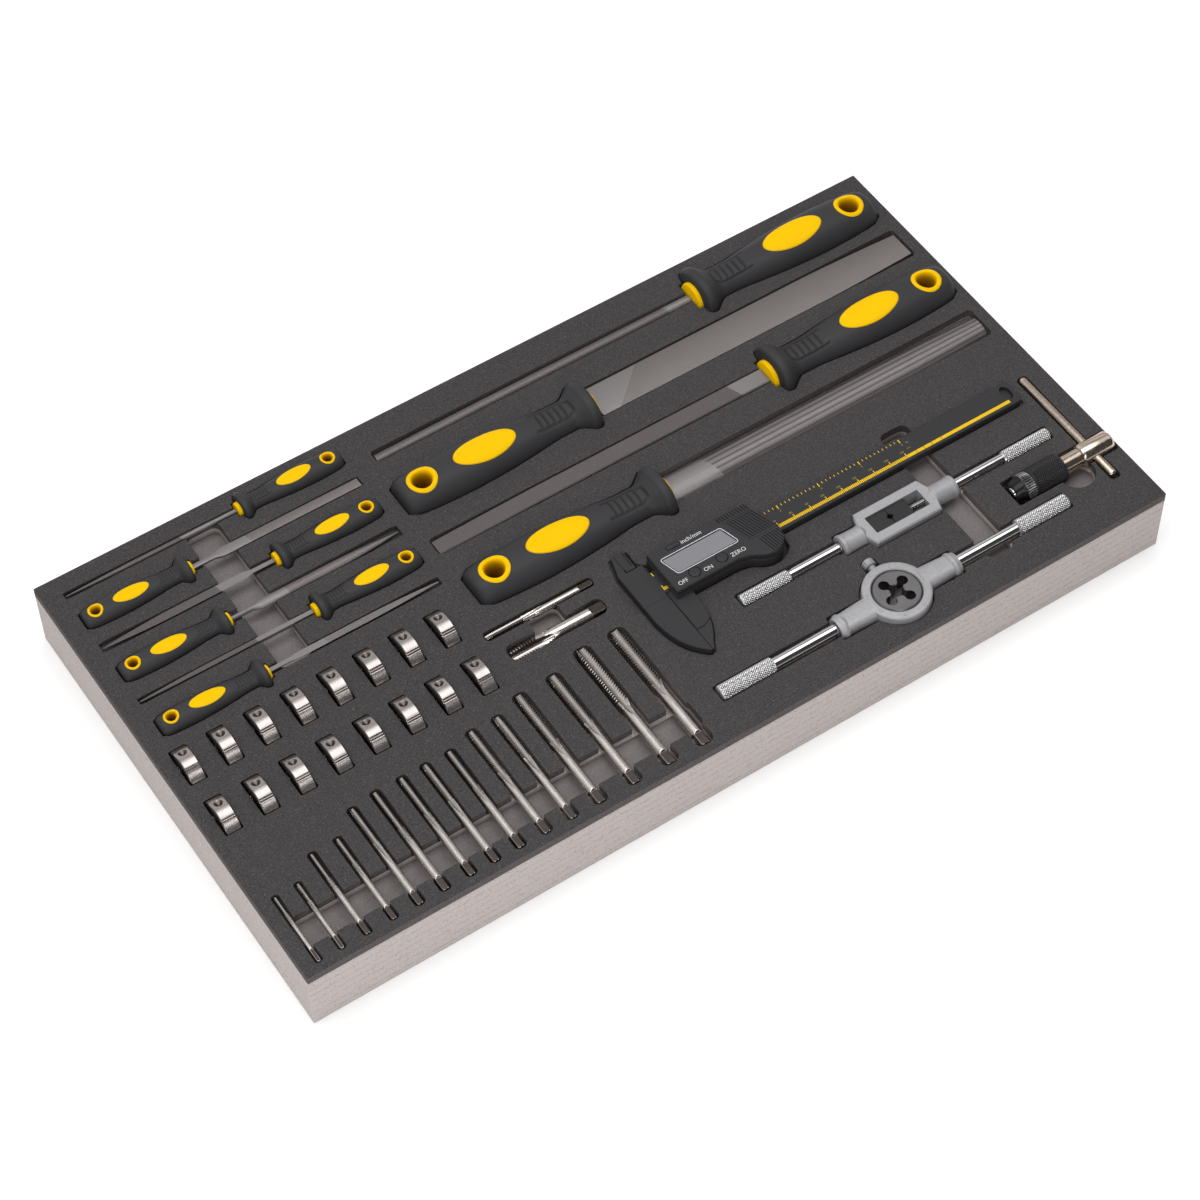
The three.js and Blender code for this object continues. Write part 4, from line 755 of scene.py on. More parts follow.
for (name, place), (*_, blade, width, thickness) in zip(file_places(LARGE_FILES), LARGE_FILES):
    sink_handle(LARGE, place)
    front, half = LARGE["front"], width / 2 + GAP
    outline = rounded_box(front - 1 - GAP, front + blade + GAP, -half, half, min(2.5, width / 3))
    sink(outline_at(outline, place), LARGE["axis"] - blade_drop(name, thickness) - thickness / 2)
for (name, place), (_, width, thickness, _) in zip(file_places(NEEDLE_FILES), NEEDLE_FILES):
    sink_handle(NEEDLE, place)
    half = max(width / 2, NEEDLE_SHANK)
    sink(tool_outline([NEEDLE["front"], NEEDLE_LENGTH - 2, NEEDLE_LENGTH], [half, half, half * 0.8], place),
         NEEDLE["axis"] - max(thickness / 2, NEEDLE_SHANK))
for name, place, length, thread, shank in TAPS:
    half = max(thread, shank) / 2 + GAP
    sink(outline_at(rounded_box(-GAP, length + GAP, -half, half, 0.75 * half), place),
         place[2] - max(thread, shank) / 2)

# %% Pockets of the caliper and the wrenches, and the finger troughs
JAW_PARTING = 5.8
BEAM_AXIS, BEAM_HALF = -38.6, 7.5
BEAM_BACK, BEAM_FRONT = BEAM_AXIS + BEAM_HALF, BEAM_AXIS - BEAM_HALF
BEAM_END = 229.0
JAW_REACH = 41.0
JAW_TIP = BEAM_FRONT - JAW_REACH
FIXED_WIDTH, MOVING_WIDTH = 14.4, 11.8
FIXED_LEFT, MOVING_RIGHT = JAW_PARTING - FIXED_WIDTH, JAW_PARTING + MOVING_WIDTH
SLIDER_LEFT, SLIDER_RIGHT, SLIDER_SLANT = 8.4, 66.8, 7.0
SLIDER_BACK, SLIDER_FRONT = BEAM_BACK + 6.2, BEAM_FRONT - 6.2
INSIDE_TIP = SLIDER_BACK + 12.2
INSIDE_RIGHT, INSIDE_LEFT = 2.3, -3.3
FIXED_CURVE = np.array([(0.86, 0.02), (0.5, 0.16), (0.22, 0.34), (0.06, 0.54), (0.0, 0.7)])
MOVING_CURVE = np.array([(0.92, 0.01), (0.75, 0.105), (0.47, 0.23), (0.26, 0.35), (0.1, 0.49), (0.0, 0.7)])
THUMB_REST = [(0.63, 0.0), (0.73, 0.2), (0.84, 0.8), (0.93, 1.0), (1.03, 0.72), (1.1, 0.12)]
THUMB_DROP = 6.6


def slider_outline(growth=0.0, shift=0.0, fine=5):
    """The slider's plan: straight back, slanted right end, and the smooth swelling of the thumb rest."""
    shares = np.array(THUMB_REST)
    along = np.linspace(shares[0, 0], shares[-1, 0], len(shares) * fine)
    drop = smooth_through(THUMB_REST, along)
    rest = np.column_stack([SLIDER_LEFT + along * (SLIDER_RIGHT - SLIDER_LEFT) + shift,
                            SLIDER_FRONT - drop * THUMB_DROP - growth])
    return np.concatenate([[(SLIDER_LEFT - growth, SLIDER_FRONT - growth)], rest, [
        (SLIDER_RIGHT + SLIDER_SLANT + shift, BEAM_FRONT), (SLIDER_RIGHT + shift, SLIDER_BACK + growth),
        (SLIDER_LEFT - growth, SLIDER_BACK + growth)]])


def jaw_curve(moving, growth=0.0, fine=4):
    """The curved back of a jaw from its tip up: the outer side plus or minus shares of its width."""
    curve, width = (MOVING_CURVE, -MOVING_WIDTH) if moving else (FIXED_CURVE, FIXED_WIDTH)
    reach = np.linspace(curve[0, 1], curve[-1, 1], len(curve) * fine)
    share = smooth_through(curve[:, ::-1], reach)
    return np.column_stack([JAW_PARTING - (1 - share) * width + growth,
                            JAW_TIP + reach * JAW_REACH - abs(growth) / 2])


beam_underside, slider_underside = TRAY_TOP - 1.0, TRAY_TOP - 3.7
sink(rounded_box(FIXED_LEFT - GAP, BEAM_END + GAP, BEAM_FRONT - GAP, BEAM_BACK + GAP, 2.0), beam_underside)
sink(slider_outline(GAP, 0.0), slider_underside)
sink(slider_outline(GAP, 2.6), slider_underside)
sink(np.concatenate([[(JAW_PARTING - GAP, JAW_TIP - GAP)], jaw_curve(True, GAP),
                     [(MOVING_RIGHT + GAP, BEAM_AXIS), (FIXED_LEFT - GAP, BEAM_AXIS)],
                     jaw_curve(False, -GAP)[::-1]]), beam_underside)
tip = INSIDE_TIP + GAP
sink(np.array([(FIXED_LEFT - GAP, BEAM_AXIS), (SLIDER_LEFT, BEAM_AXIS), (SLIDER_LEFT, SLIDER_BACK + GAP),
               (INSIDE_LEFT, tip), (INSIDE_LEFT - 2.8, tip), (FIXED_LEFT - GAP, SLIDER_BACK + GAP)]),
     beam_underside)
sink(np.array([(INSIDE_LEFT - GAP, BEAM_BACK), (SLIDER_LEFT, BEAM_BACK), (SLIDER_LEFT, SLIDER_BACK + GAP),
               (INSIDE_RIGHT + 2.6, SLIDER_BACK + GAP), (INSIDE_RIGHT + 2.6, tip), (INSIDE_LEFT - GAP, tip)]),
     slider_underside)

WRENCH_Y, WRENCH_AXIS = -68.6, TRAY_TOP - 1.5
WRENCH_LEFT, WRENCH_RIGHT, WRENCH_HALF = 108.8, 153.8, 11.0
WRENCH_COLLARS = (WRENCH_LEFT - 13.0, WRENCH_RIGHT + 13.0)
WRENCH_ENDS = (WRENCH_COLLARS[0] - 61.0, WRENCH_COLLARS[1] + 61.0)
# Half the thickness of the frame, and the radii of the collars' rims and of the knurls
WRENCH_PLATE, WRENCH_RIM, WRENCH_KNURL = 4.5, 6.3, 3.7
STOCK_X, STOCK_Y, STOCK_AXIS = 101.2, -108.8, TRAY_TOP - 1.0
STOCK_RING, STOCK_ARM, STOCK_END, STOCK_KNURL = 17.8, 37.0, 107.0, 4.4
TEE_X, TEE_Y, TEE_AXIS = 238.6, -90.0, TRAY_TOP - 1.0
TEE_SLEEVE, TEE_SLEEVE_LENGTH, TEE_NOSE_LENGTH = 19.7, 25.5, 5.4
TEE_SLEEVE_RADIUS, TEE_HEAD_RADIUS = 7.9, 6.2
TEE_BAR_RADIUS, TEE_BAR_START, TEE_BAR_END = 2.4, -19.3, 57.5


def wrench_outline(growth=0.0):
    """The wrench frame's plan, a rectangle with long slanted corners."""
    left, right, half, shoulder = WRENCH_LEFT - growth, WRENCH_RIGHT + growth, WRENCH_HALF + growth, 4.0
    return np.array([(left, -shoulder), (WRENCH_LEFT + 2.6, -half), (WRENCH_RIGHT - 2.6, -half),
                     (right, -shoulder), (right, shoulder), (WRENCH_RIGHT - 2.6, half),
                     (WRENCH_LEFT + 2.6, half), (left, shoulder)])


def sink_along(left, right, y, half, underside):
    """A straight pocket along X round one part of a tool."""
    sink(rounded_box(left - GAP, right + GAP, y - half - GAP, y + half + GAP, 1.2), underside)


sink(wrench_outline(GAP) + np.array([0, WRENCH_Y]), WRENCH_AXIS - WRENCH_PLATE)
sink_along(*WRENCH_COLLARS, WRENCH_Y, WRENCH_RIM, WRENCH_AXIS - WRENCH_RIM)
sink_along(*WRENCH_ENDS, WRENCH_Y, WRENCH_KNURL, WRENCH_AXIS - WRENCH_KNURL)
sink(circle_outline(STOCK_X, STOCK_Y, STOCK_RING + GAP, 64), STOCK_AXIS - 5)
sink_along(STOCK_X - STOCK_ARM, STOCK_X + STOCK_ARM, STOCK_Y, 7.2, STOCK_AXIS - 6)
sink_along(STOCK_X - STOCK_END, STOCK_X + STOCK_END, STOCK_Y, STOCK_KNURL, STOCK_AXIS - STOCK_KNURL)
sink(rounded_box(STOCK_X - 3.5 - GAP, STOCK_X + 3.5 + GAP, STOCK_Y, STOCK_Y + 25.2 + GAP, 2.5),
     STOCK_AXIS - 3.5)
sink_along(TEE_X - TEE_SLEEVE - TEE_SLEEVE_LENGTH - TEE_NOSE_LENGTH - 0.6, TEE_X - TEE_SLEEVE, TEE_Y,
           TEE_SLEEVE_RADIUS, TEE_AXIS - TEE_SLEEVE_RADIUS)
sink_along(TEE_X - TEE_SLEEVE, TEE_X + 12.2, TEE_Y, TEE_HEAD_RADIUS, TEE_AXIS - TEE_HEAD_RADIUS)
sink(rounded_box(TEE_X - TEE_BAR_RADIUS - GAP, TEE_X + TEE_BAR_RADIUS + GAP, TEE_Y + TEE_BAR_START - 2.6,
                 TEE_Y + TEE_BAR_END + GAP, TEE_BAR_RADIUS), TEE_AXIS - TEE_BAR_RADIUS)
TROUGH_FLOOR = TRAY_TOP - 9.5
for left, right, front, back in [(-174, -155.5, 24, 121), (-244, -21, -119.5, -102),
                                 (153.3, 170, -117, -22.5), (-59.5, -41.5, -32.5, -17)]:
    pockets.append((rounded_box(left, right, front, back, 4.0), TROUGH_FLOOR))
pockets.append((circle_outline(223.5, -97.5, 10.0), TROUGH_FLOOR))
print("pockets:", len(pockets))

# %% The two slabs of foam, carved
LIP = [(TRAY_TOP - 0.55, 0), (TRAY_TOP - 0.2, 0.06), (TRAY_TOP + 0.05, 0.25), (TRAY_TOP + 1, 1.2)]
DIE_GAP = 0.4
DIE_SLOT_FLOOR = 21.5
PAST_SHEET = 1.0


def foam_cutter(outline, floor):
    """From the floor up; near the top of the foam it flares outwards, which rounds the lip of the pocket. Its
    faces leave painted shade on the sides and floor of the pocket.
    """
    return toned(prism(outline, [(floor, 0), *LIP]))


def die_slot(x, y, floor):
    """Half as long as sqrt(r r - h h) at a height h over the die's axis, so the foam closes round the die."""
    radius, half = DIE_RADIUS + DIE_GAP, DIE_THICKNESS / 2 + GAP
    rings = []
    for z, growth in [(floor, 0), (DIE_AXIS + 0.6, 0), (DIE_AXIS + 2.5, 0), (DIE_AXIS + 4.5, 0), *LIP]:
        reach = math.sqrt(radius**2 - min(max(z - DIE_AXIS, 0), TRAY_TOP - DIE_AXIS) ** 2) + growth
        wide = half + growth
        rings.append(ring_at(rounded_box(x - wide, x + wide, y - reach, y + reach, 1.0, 3), z))
    return toned(shell(np.stack(rings)))


def slab(name, levels):
    """A slab of foam; its edges are softened by the growth of its levels."""
    outline = rounded_box(-TRAY_HALF_LENGTH, TRAY_HALF_LENGTH, -TRAY_HALF_WIDTH, TRAY_HALF_WIDTH, 0.6, 3)
    return mesh_object(name, prism(outline, levels))


die_spots = [(x, y) for _, y in DIE_ROWS for x in DIE_PLACES]
sheet_levels = [(SHEET_UNDERSIDE, 0), (TRAY_TOP - 0.5, 0), (TRAY_TOP - 0.15, -0.12), (TRAY_TOP, -0.45)]
top_sheet = carved(slab("foam_sheet_dark", sheet_levels),
                   [foam_cutter(outline, max(floor, SHEET_UNDERSIDE - PAST_SHEET))
                    for outline, floor in pockets]
                   + [die_slot(x, y, SHEET_UNDERSIDE - 1.5 * PAST_SHEET) for x, y in die_spots])
core = carved(slab("foam_core_pale", [(0.0, 0), (SHEET_UNDERSIDE, 0)]),
              [foam_cutter(outline, floor) for outline, floor in pockets if floor < SHEET_UNDERSIDE - 0.01]
              + [die_slot(x, y, DIE_SLOT_FLOOR) for x, y in die_spots])
dress(top_sheet, dark_foam, "foam_tray", ["foam_top_sheet"], angle=50)
dress(core, pale_foam, "foam_tray", ["foam_pocket_layer", "foam_base_slab"], angle=50)
print("foam:", len(top_sheet.data.polygons), "and", len(core.data.polygons), "faces")

# %% [markdown]
# ## File handles
# Each handle is moulded in two materials: a charcoal grip and bright yellow inserts, a ring that lines the
# hanging hole, an oval on the back and a collar at the blade. The grip is an oval tube whose width follows a
# curve through the stations above. Its section is a superellipse, a little fuller than an ellipse. Five short
# grooves and the line round them are pressed in where the thumb lies; the grid is finest there.

# %% The grip
SECTION_POWER = 2.35


def section_angle(columns, density=0.72):
    """Angles round the section, closest on the back of the handle: 2 pi u - density sin(2 pi u - 90)."""
    u = np.arange(columns) / columns
    return 2 * math.pi * u - density * np.sin(2 * math.pi * u - math.pi / 2) - density


def superellipse(half_width, half_height, angle, power=SECTION_POWER):
    """Sideways w sign(cos) |cos|^(2/p), upwards h sign(sin) |sin|^(2/p)."""
    c, s = np.cos(angle), np.sin(angle)
    return (half_width * np.sign(c) * np.abs(c) ** (2 / power),
            half_height * np.sign(s) * np.abs(s) ** (2 / power))


def back_height(handle, x, y):
    """Height of the handle's back over its axis: h (1 - |y / w|^p)^(1 / p)."""
    half = grip_half(handle, x)
    share = np.clip(np.abs(y) / half, 0, 0.999)
    return half * handle["height"] * (1 - share**SECTION_POWER) ** (1 / SECTION_POWER)


def stroke(x, y, ends, half_width):
    """1 on a line between two points, falling smoothly to 0 at its half width."""
    (x0, y0), (x1, y1) = ends
    length = (x1 - x0) ** 2 + (y1 - y0) ** 2
    t = np.clip(((x - x0) * (x1 - x0) + (y - y0) * (y1 - y0)) / length, 0, 1)
    far = np.hypot(x - x0 - t * (x1 - x0), y - y0 - t * (y1 - y0)) / half_width
    return np.clip(1 - far**2, 0, 1)


def thumb_grooves(handle, x, y):
    """Five strokes across the handle inside a line that is open towards the butt."""
    first, last = handle["grooves"]
    reach = handle["groove_reach"]
    step = (last - first) / 4
    width = 0.26 * step
    depth = np.zeros(np.broadcast(x, y).shape)
    for i in range(5):
        across = first + i * step
        depth = np.maximum(depth, stroke(x, y, ((across, -0.72 * reach), (across, 0.72 * reach)), width))
    end = last + 1.1 * step
    for side in (-1, 1):
        bend = (end - step, side * reach)
        for ends in [((first - step, side * reach), bend), (bend, (end, side * 0.6 * reach))]:
            depth = np.maximum(depth, stroke(x, y, ends, width))
    return np.maximum(depth, stroke(x, y, ((end, -0.6 * reach), (end, 0.6 * reach)), width))


def grip_part(handle, place, fine):
    """The tube of the grip with its grooves pressed in along the section's radius, and painted shade in them.
    """
    first, last = handle["grooves"]
    step = (last - first) / 4
    length, width = handle["length"], handle["flange_width"]
    at = np.unique(np.round(np.concatenate([
        [0, 0.004, 0.012, 0.025], np.linspace(0.04, 0.7, 26)]) * length, 3))
    at = np.concatenate([at[at < first - 2 * step], np.arange(first - 2 * step, last + 2.4 * step, fine),
                         np.linspace(last + 2.5 * step, length - width, 8)[:-1],
                         length - width * np.array([1, 0.85, 0.7, 0.55, 0.4, 0.25, 0.12, 0.04, 0])])
    angle = section_angle(88)
    half = grip_half(handle, at)[:, None]
    y, z = superellipse(half, half * handle["height"], angle[None, :])
    groove = thumb_grooves(handle, at[:, None], y) * (z > 0)
    press = 1 - 0.11 * step * groove / np.maximum(half, 1)
    grid = np.stack([np.broadcast_to(at[:, None], y.shape), y * press, z * press], axis=-1)
    # The pressed grooves also carry painted shade through the recess attribute.
    return shell(lay(grid, place), recess=groove)


def hole_cutter(handle, place, radius):
    """An upright rod through the handle at the hanging hole."""
    reach = handle["radius"] + 2
    return moved(prism(circle_outline(handle["hole_at"], 0, radius, 56), [(-reach, 0), (reach, 0)]), place)


# %% Rings, ovals and collars
def ring_part(handle, place):
    """A lining through the handle: its lip follows the back, its bore narrows in a cone to the throat, with
    painted shade deep in the bore.
    """
    outer, throat = handle["ring"], handle["hole"]
    mouth = throat + 0.42 * (outer - throat)
    scale = handle["radius"] / LARGE["radius"]
    profile = [(outer - 0.1, -1.2, 1), (outer, 0.1, 1), (outer - 0.25 * scale, 0.3, 1),
               (outer - 0.9 * scale, 0.42, 1), (mouth + 0.5 * scale, 0.4, 1), (mouth, 0.05, 1),
               (mouth - 0.6 * scale, -1.4 * scale, 1), (throat + 0.7 * scale, -3.4 * scale, 1),
               (throat + 0.2 * scale, -5.5 * scale, 1)]
    profile += [(radius, -lift, -1) for radius, lift, _ in profile[::-1]]
    radius, lift, side = (np.array(v, float)[:, None] for v in zip(*profile))
    angle = full_turn(64)
    x = handle["hole_at"] + radius * np.cos(angle)
    y = radius * np.sin(angle)
    grid = np.stack([x, y, side * back_height(handle, x, y) + lift], axis=-1)
    # Painted shade in the bore, darker the deeper it goes.
    deep = np.clip(-lift * side / (4.0 * scale), 0, 1) * (lift * side < -1.3 * scale)
    return shell(lay(grid, place), closed_rows=True, recess=deep)


def oval_part(handle, place):
    """A lens on the back of the handle: an oval of rings, a little proud, with a hidden underside."""
    long_half, short_half = handle["oval"]
    scale = handle["radius"] / LARGE["radius"]
    share = np.array([0.04, 0.2, 0.4, 0.6, 0.75, 0.87, 0.94, 0.98, 1.0, 0.97, 0.6, 0.1])
    lift = np.array([0.5, 0.5, 0.49, 0.47, 0.44, 0.38, 0.28, 0.14, -0.15, -0.9, -1.1, -1.2]) * scale
    angle = full_turn(72)
    x = handle["oval_at"] + long_half * share[:, None] * np.cos(angle)
    y = short_half * share[:, None] * np.sin(angle)
    grid = np.stack([x, y, back_height(handle, x, y) + lift[:, None]], axis=-1)
    # A little painted shade round the oval's sloping edge.
    return shell(lay(grid, place), recess=(0.35 * (share > 0.96))[:, None])


def collar_part(handle, place):
    """The short yellow ring round the blade, in front of the flange."""
    front, radius, width = handle["length"], handle["collar"], handle["collar_width"]
    return turned_part([(front - 1.0, radius * 0.9), (front - 0.2, radius), (front + 0.5 * width, radius),
                        (front + 0.85 * width, 0.96 * radius), (front + width, 0.88 * radius)], 40, place)


def make_handle(name, handle, place, body, node, fine):
    """One grip with its three yellow inserts, all riding on the file's body."""
    grip = carved(mesh_object(f"{name}_grip", grip_part(handle, place, fine)),
                  [hole_cutter(handle, place, handle["ring"] - 0.25)])
    dress(grip, grip_rubber, body, [node], angle=42)
    for part_name, make_part, angle in [("hanging_ring", ring_part, 60), ("oval_insert", oval_part, 60),
                                        ("collar", collar_part, 38)]:
        piece(f"{name}_{part_name}", make_part(handle, place), grip_yellow, body, slot="grip_rubber",
              angle=angle)


for name, place in file_places(LARGE_FILES):
    make_handle(f"{name}_file_handle", LARGE, place, f"{name}_file", f"{name}_file_handle", 0.3)
for name, place in file_places(NEEDLE_FILES):
    make_handle(f"needle_{name}_handle", NEEDLE, place, f"needle_file_{name}", f"needle_file_{name}", 0.2)
print("handles: 10, each with a ring, an oval and a collar")

# %% [markdown]
# ## File blades
# A blade is a section drawn along the tool. Sections are flat plates with narrow bevels, squares, rounds,
# triangles or half rounds; near the handle a needle blade thins to its shank. The attribute named blade
# holds the place along and across the blade, so the cut of the file can start at its own line.

# %% Blade sections
def polygon_section(corners, bevel=0.12):
    """A closed section whose corners are cut by two points each, a share of the way to their neighbours."""
    corners = np.array(corners, float)
    before, after = np.roll(corners, 1, axis=0), np.roll(corners, -1, axis=0)
    pairs = np.stack([corners + bevel * (before - corners), corners + bevel * (after - corners)], axis=1)
    return pairs.reshape(-1, 2)


def half_round_section(ridges, columns=72):
    """A flat underside and an arched top with lengthwise grooves; the third column is painted shade in the
    grooves.
    """
    side = np.linspace(1, -1, columns)
    arch = -0.6 + 1.6 * np.sqrt(np.clip(1 - side**2, 0, 1)) ** 1.2
    groove = np.clip(1 - 3.2 * np.abs((side * 2.75 + 0.5) % 1.0 - 0.5), 0, 1)
    groove = groove * (np.abs(side) < 0.95) * (ridges > 0)
    arch = arch - ridges * groove
    return np.concatenate([[(0.96, -1.0, 0), (1.0, -0.9, 0)], np.column_stack([side, arch, groove]),
                           [(-1.0, -0.9, 0), (-0.96, -1.0, 0)]])


SQUARE_CORNERS = [(1, -1), (1, 1), (-1, 1), (-1, -1)]
SECTIONS = {
    "flat": polygon_section(SQUARE_CORNERS, 0.04), "square": polygon_section(SQUARE_CORNERS, 0.06),
    "round": circle_outline(0, 0, 1.0, 32), "triangular": polygon_section([(1, 1), (-1, 1), (0, -1)], 0.06),
    "knife": polygon_section([(1, 1), (-1, 1), (0, -1)], 0.06), "half_round": half_round_section(0.0),
    "half_round_cut": half_round_section(0.05),
}


def blade_part(stations, place):
    """A section drawn along +X through stations of (at, half width, half height, lift, section)."""
    rings = [np.column_stack([np.full(len(section), at), section[:, 0] * width,
                              section[:, 1] * height + lift])
             for at, width, height, lift, section in stations]
    tones = [section[:, 2] if section.shape[1] > 2 else 0 * section[:, 0] for *_, section in stations]
    return shell(lay(np.stack(rings), place), recess=np.stack(tones))


def mark_blade(made, place, front):
    """Stores each point's distance from the handle and from the middle of the blade, in millimetres."""
    count = len(made.data.vertices)
    points = np.empty(count * 3)
    made.data.vertices.foreach_get("co", points)
    points = points.reshape(-1, 3) * MILLIMETRES - np.array(place[:3])
    c, s = math.cos(place[3]), math.sin(place[3])
    marks = np.column_stack([c * points[:, 0] + s * points[:, 1] - front, c * points[:, 1] - s * points[:, 0],
                             points[:, 2]])
    attribute = made.data.attributes.new("blade", "FLOAT_VECTOR", "POINT")
    attribute.data.foreach_set("vector", marks.astype(np.float32).reshape(-1))


# %% The finish of cut steel
TOOTH_RELIEF = 0.00025


def make_cut_group():
    """Rows of teeth that lean across the blade, from a start line on: the cut's mask and its height."""
    group, start = new_group("file_cut", {"Start": "number", "Slope": "number", "Pitch": "number",
                                          "Lean": "number"})
    marks = add(group, "ShaderNodeAttribute", attribute_name="blade").outputs["Vector"]
    parts = add(group, "ShaderNodeSeparateXYZ", {"Vector": marks}).outputs
    along, across = parts["X"], parts["Y"]
    past = reckon(group, "SUBTRACT", reckon(group, "MULTIPLY_ADD", across, start["Slope"], along),
                  start["Start"])
    cut = ranged(group, past, 0.0, 0.8, easing="SMOOTHSTEP")
    turns = reckon(group, "DIVIDE", reckon(group, "MULTIPLY_ADD", across, start["Lean"], along),
                   start["Pitch"])
    height = reckon(group, "MULTIPLY", reckon(group, "FRACT", turns), cut)
    return close_group(group, {"Cut": ("number", cut), "Height": ("number", height)})


cut_group = make_cut_group()


def cut_steel(name, start, slope, pitch, lean, bare=(136, 132, 132), cut=(116, 110, 109)):
    """Bright ground steel up to the start line, then grey teeth with their own relief."""
    material = finish(name, cut, groove=(84, 80, 79), mottle=0.07, mottle_scale=25.0, rough=(0.48, 0.6),
                      metal=0.8, stretch=(0.4, 1, 1), grain=1300.0, bump=0.05)
    tree = material.node_tree
    shader = tree.nodes["Principled BSDF"]
    teeth = use(tree, cut_group, {"Start": start, "Slope": slope, "Pitch": pitch, "Lean": lean})
    fine = shader.inputs["Normal"].links[0].from_socket
    relief = add(tree, "ShaderNodeBump", {"Height": teeth["Height"], "Strength": 0.55,
                                          "Distance": TOOTH_RELIEF, "Normal": fine})
    colour = mixed(tree, teeth["Cut"], linear(*bare), current_colour(material))
    connect(tree, shader, {"Base Color": colour, "Normal": relief.outputs[0]})
    return material


CUTS = {
    "round": (16.0, 0.6, 2.6, 0.9), "flat": (22.0, -1.1, 0.9, 0.55), "square": (20.0, 0.4, 0.8, 0.6),
    "half_round": (27.0, 0.35, 0.9, 0.5, (140, 136, 136), (126, 121, 120)),
    "triangular": (32.0, 0.3, 0.7, 0.5),
}
cut_finishes = {name: cut_steel(f"cut_steel_{name}", *values) for name, values in CUTS.items()}

# %% Large blades and needle blades
def make_blade(name, stations, place, front, *how, **more):
    """A blade as a finished piece, with the places of its points along and across it."""
    mark_blade(piece(name, blade_part(stations, place), *how, **more), place, front)


start = LARGE["front"]
for (name, place), (*_, blade, width, thickness) in zip(file_places(LARGE_FILES), LARGE_FILES):
    drop = blade_drop(name, thickness)
    section = SECTIONS[name]
    later = SECTIONS["half_round_cut"] if name == "half_round" else section
    tip_share = 0.8 if name in ("flat", "half_round") else 0.94
    half, high = width / 2, thickness / 2
    tang = (min(TANG, half), min(TANG, high), 0, section)
    cut_start = start + CUTS[name][0]
    stations = [(start - 20, *tang), (start + 0.3, *tang),
                (start + 0.3, half - 0.15, high - 0.15, -drop, section),
                (start + 0.5, half, high, -drop, section), (cut_start - 2.5, half, high, -drop, section),
                (cut_start + 1.5, half, high, -drop, later)]
    for share in np.linspace(0, 1, 9):
        taper = 1 - (1 - tip_share) * share**1.6
        stations.append((start + (0.7 + 0.299 * share) * blade, half * taper, high * (1 - 0.2 * share),
                         -drop, later))
    stations.append((start + blade, half * tip_share - 0.4, high * 0.8 - 0.3, -drop, later))
    make_blade(f"{name}_file_cut_blade", stations, place, start, cut_finishes[name], f"{name}_file",
               [f"{name}_file_blade"], "file_steel")
start = NEEDLE["front"]
for (name, place), (_, width, thickness, tip_share) in zip(file_places(NEEDLE_FILES), NEEDLE_FILES):
    section = SECTIONS[name]
    half, high, shank = width / 2, thickness / 2, min(NEEDLE_SHANK, thickness / 2)
    stations = [(start - 1, NEEDLE_SHANK, shank, 0, section), (start + 9, NEEDLE_SHANK, shank, 0, section)]
    for share in np.linspace(0, 1, 8):
        ease = share * share * (3 - 2 * share)
        stations.append((start + 12 + 6 * share, NEEDLE_SHANK + (half - NEEDLE_SHANK) * ease,
                         shank + (high - shank) * ease, 0, section))
    for share in np.linspace(0, 1, 14):
        width_share = 1 - (1 - tip_share) * share**1.7
        height_share = 1 - (1 - min(1, tip_share + 0.3)) * share**1.7
        at = start + (0.6 + 0.4 * share) * (NEEDLE_LENGTH - start)
        stations.append((at, half * width_share, high * height_share, 0, section))
    make_blade(f"needle_{name}_blade", stations, place, start, cut_finishes["triangular"],
               f"needle_file_{name}", slot="grip_rubber", angle=35)
print("blades: 10")

# %% [markdown]
# ## Taps
# A tap is a lathe shape with three things taken from its radius. The drive end keeps four flats. The thread
# is a helix: its depth is a triangle wave of the place along the axis less the share of a turn. The flutes
# are round grooves whose edge, seen from the axis, is d cos a - sqrt(r r - d d sin a sin a). They rise out of
# the neck in the shape of a spoon, and the lead of the thread is cut to a cone.

# %% Thread, flutes and drive end
FAR_OUT = 99.0


def places_along(*parts):
    """Sorted places along an axis, each once."""
    return np.unique(np.round(np.concatenate(parts), 4))


def helix_ridge(at, angle, pitch):
    """0 in the root and 1 on the crest: a triangle wave of at / pitch less the share of a turn."""
    phase = (at / pitch - angle / (2 * math.pi)) % 1.0
    return 1 - np.abs(2 * phase - 1)


def flute_radius(angle, count, turn, far, radius):
    """Radius at which a ray from the axis meets the nearest of several round grooves, or a large one."""
    step = 2 * math.pi / count
    aside = (angle - turn + step / 2) % step - step / 2
    inside = radius**2 - (far * np.sin(aside)) ** 2
    meets = far * np.cos(aside) - np.sqrt(np.clip(inside, 0, None))
    return np.where(inside > 0, meets, FAR_OUT)


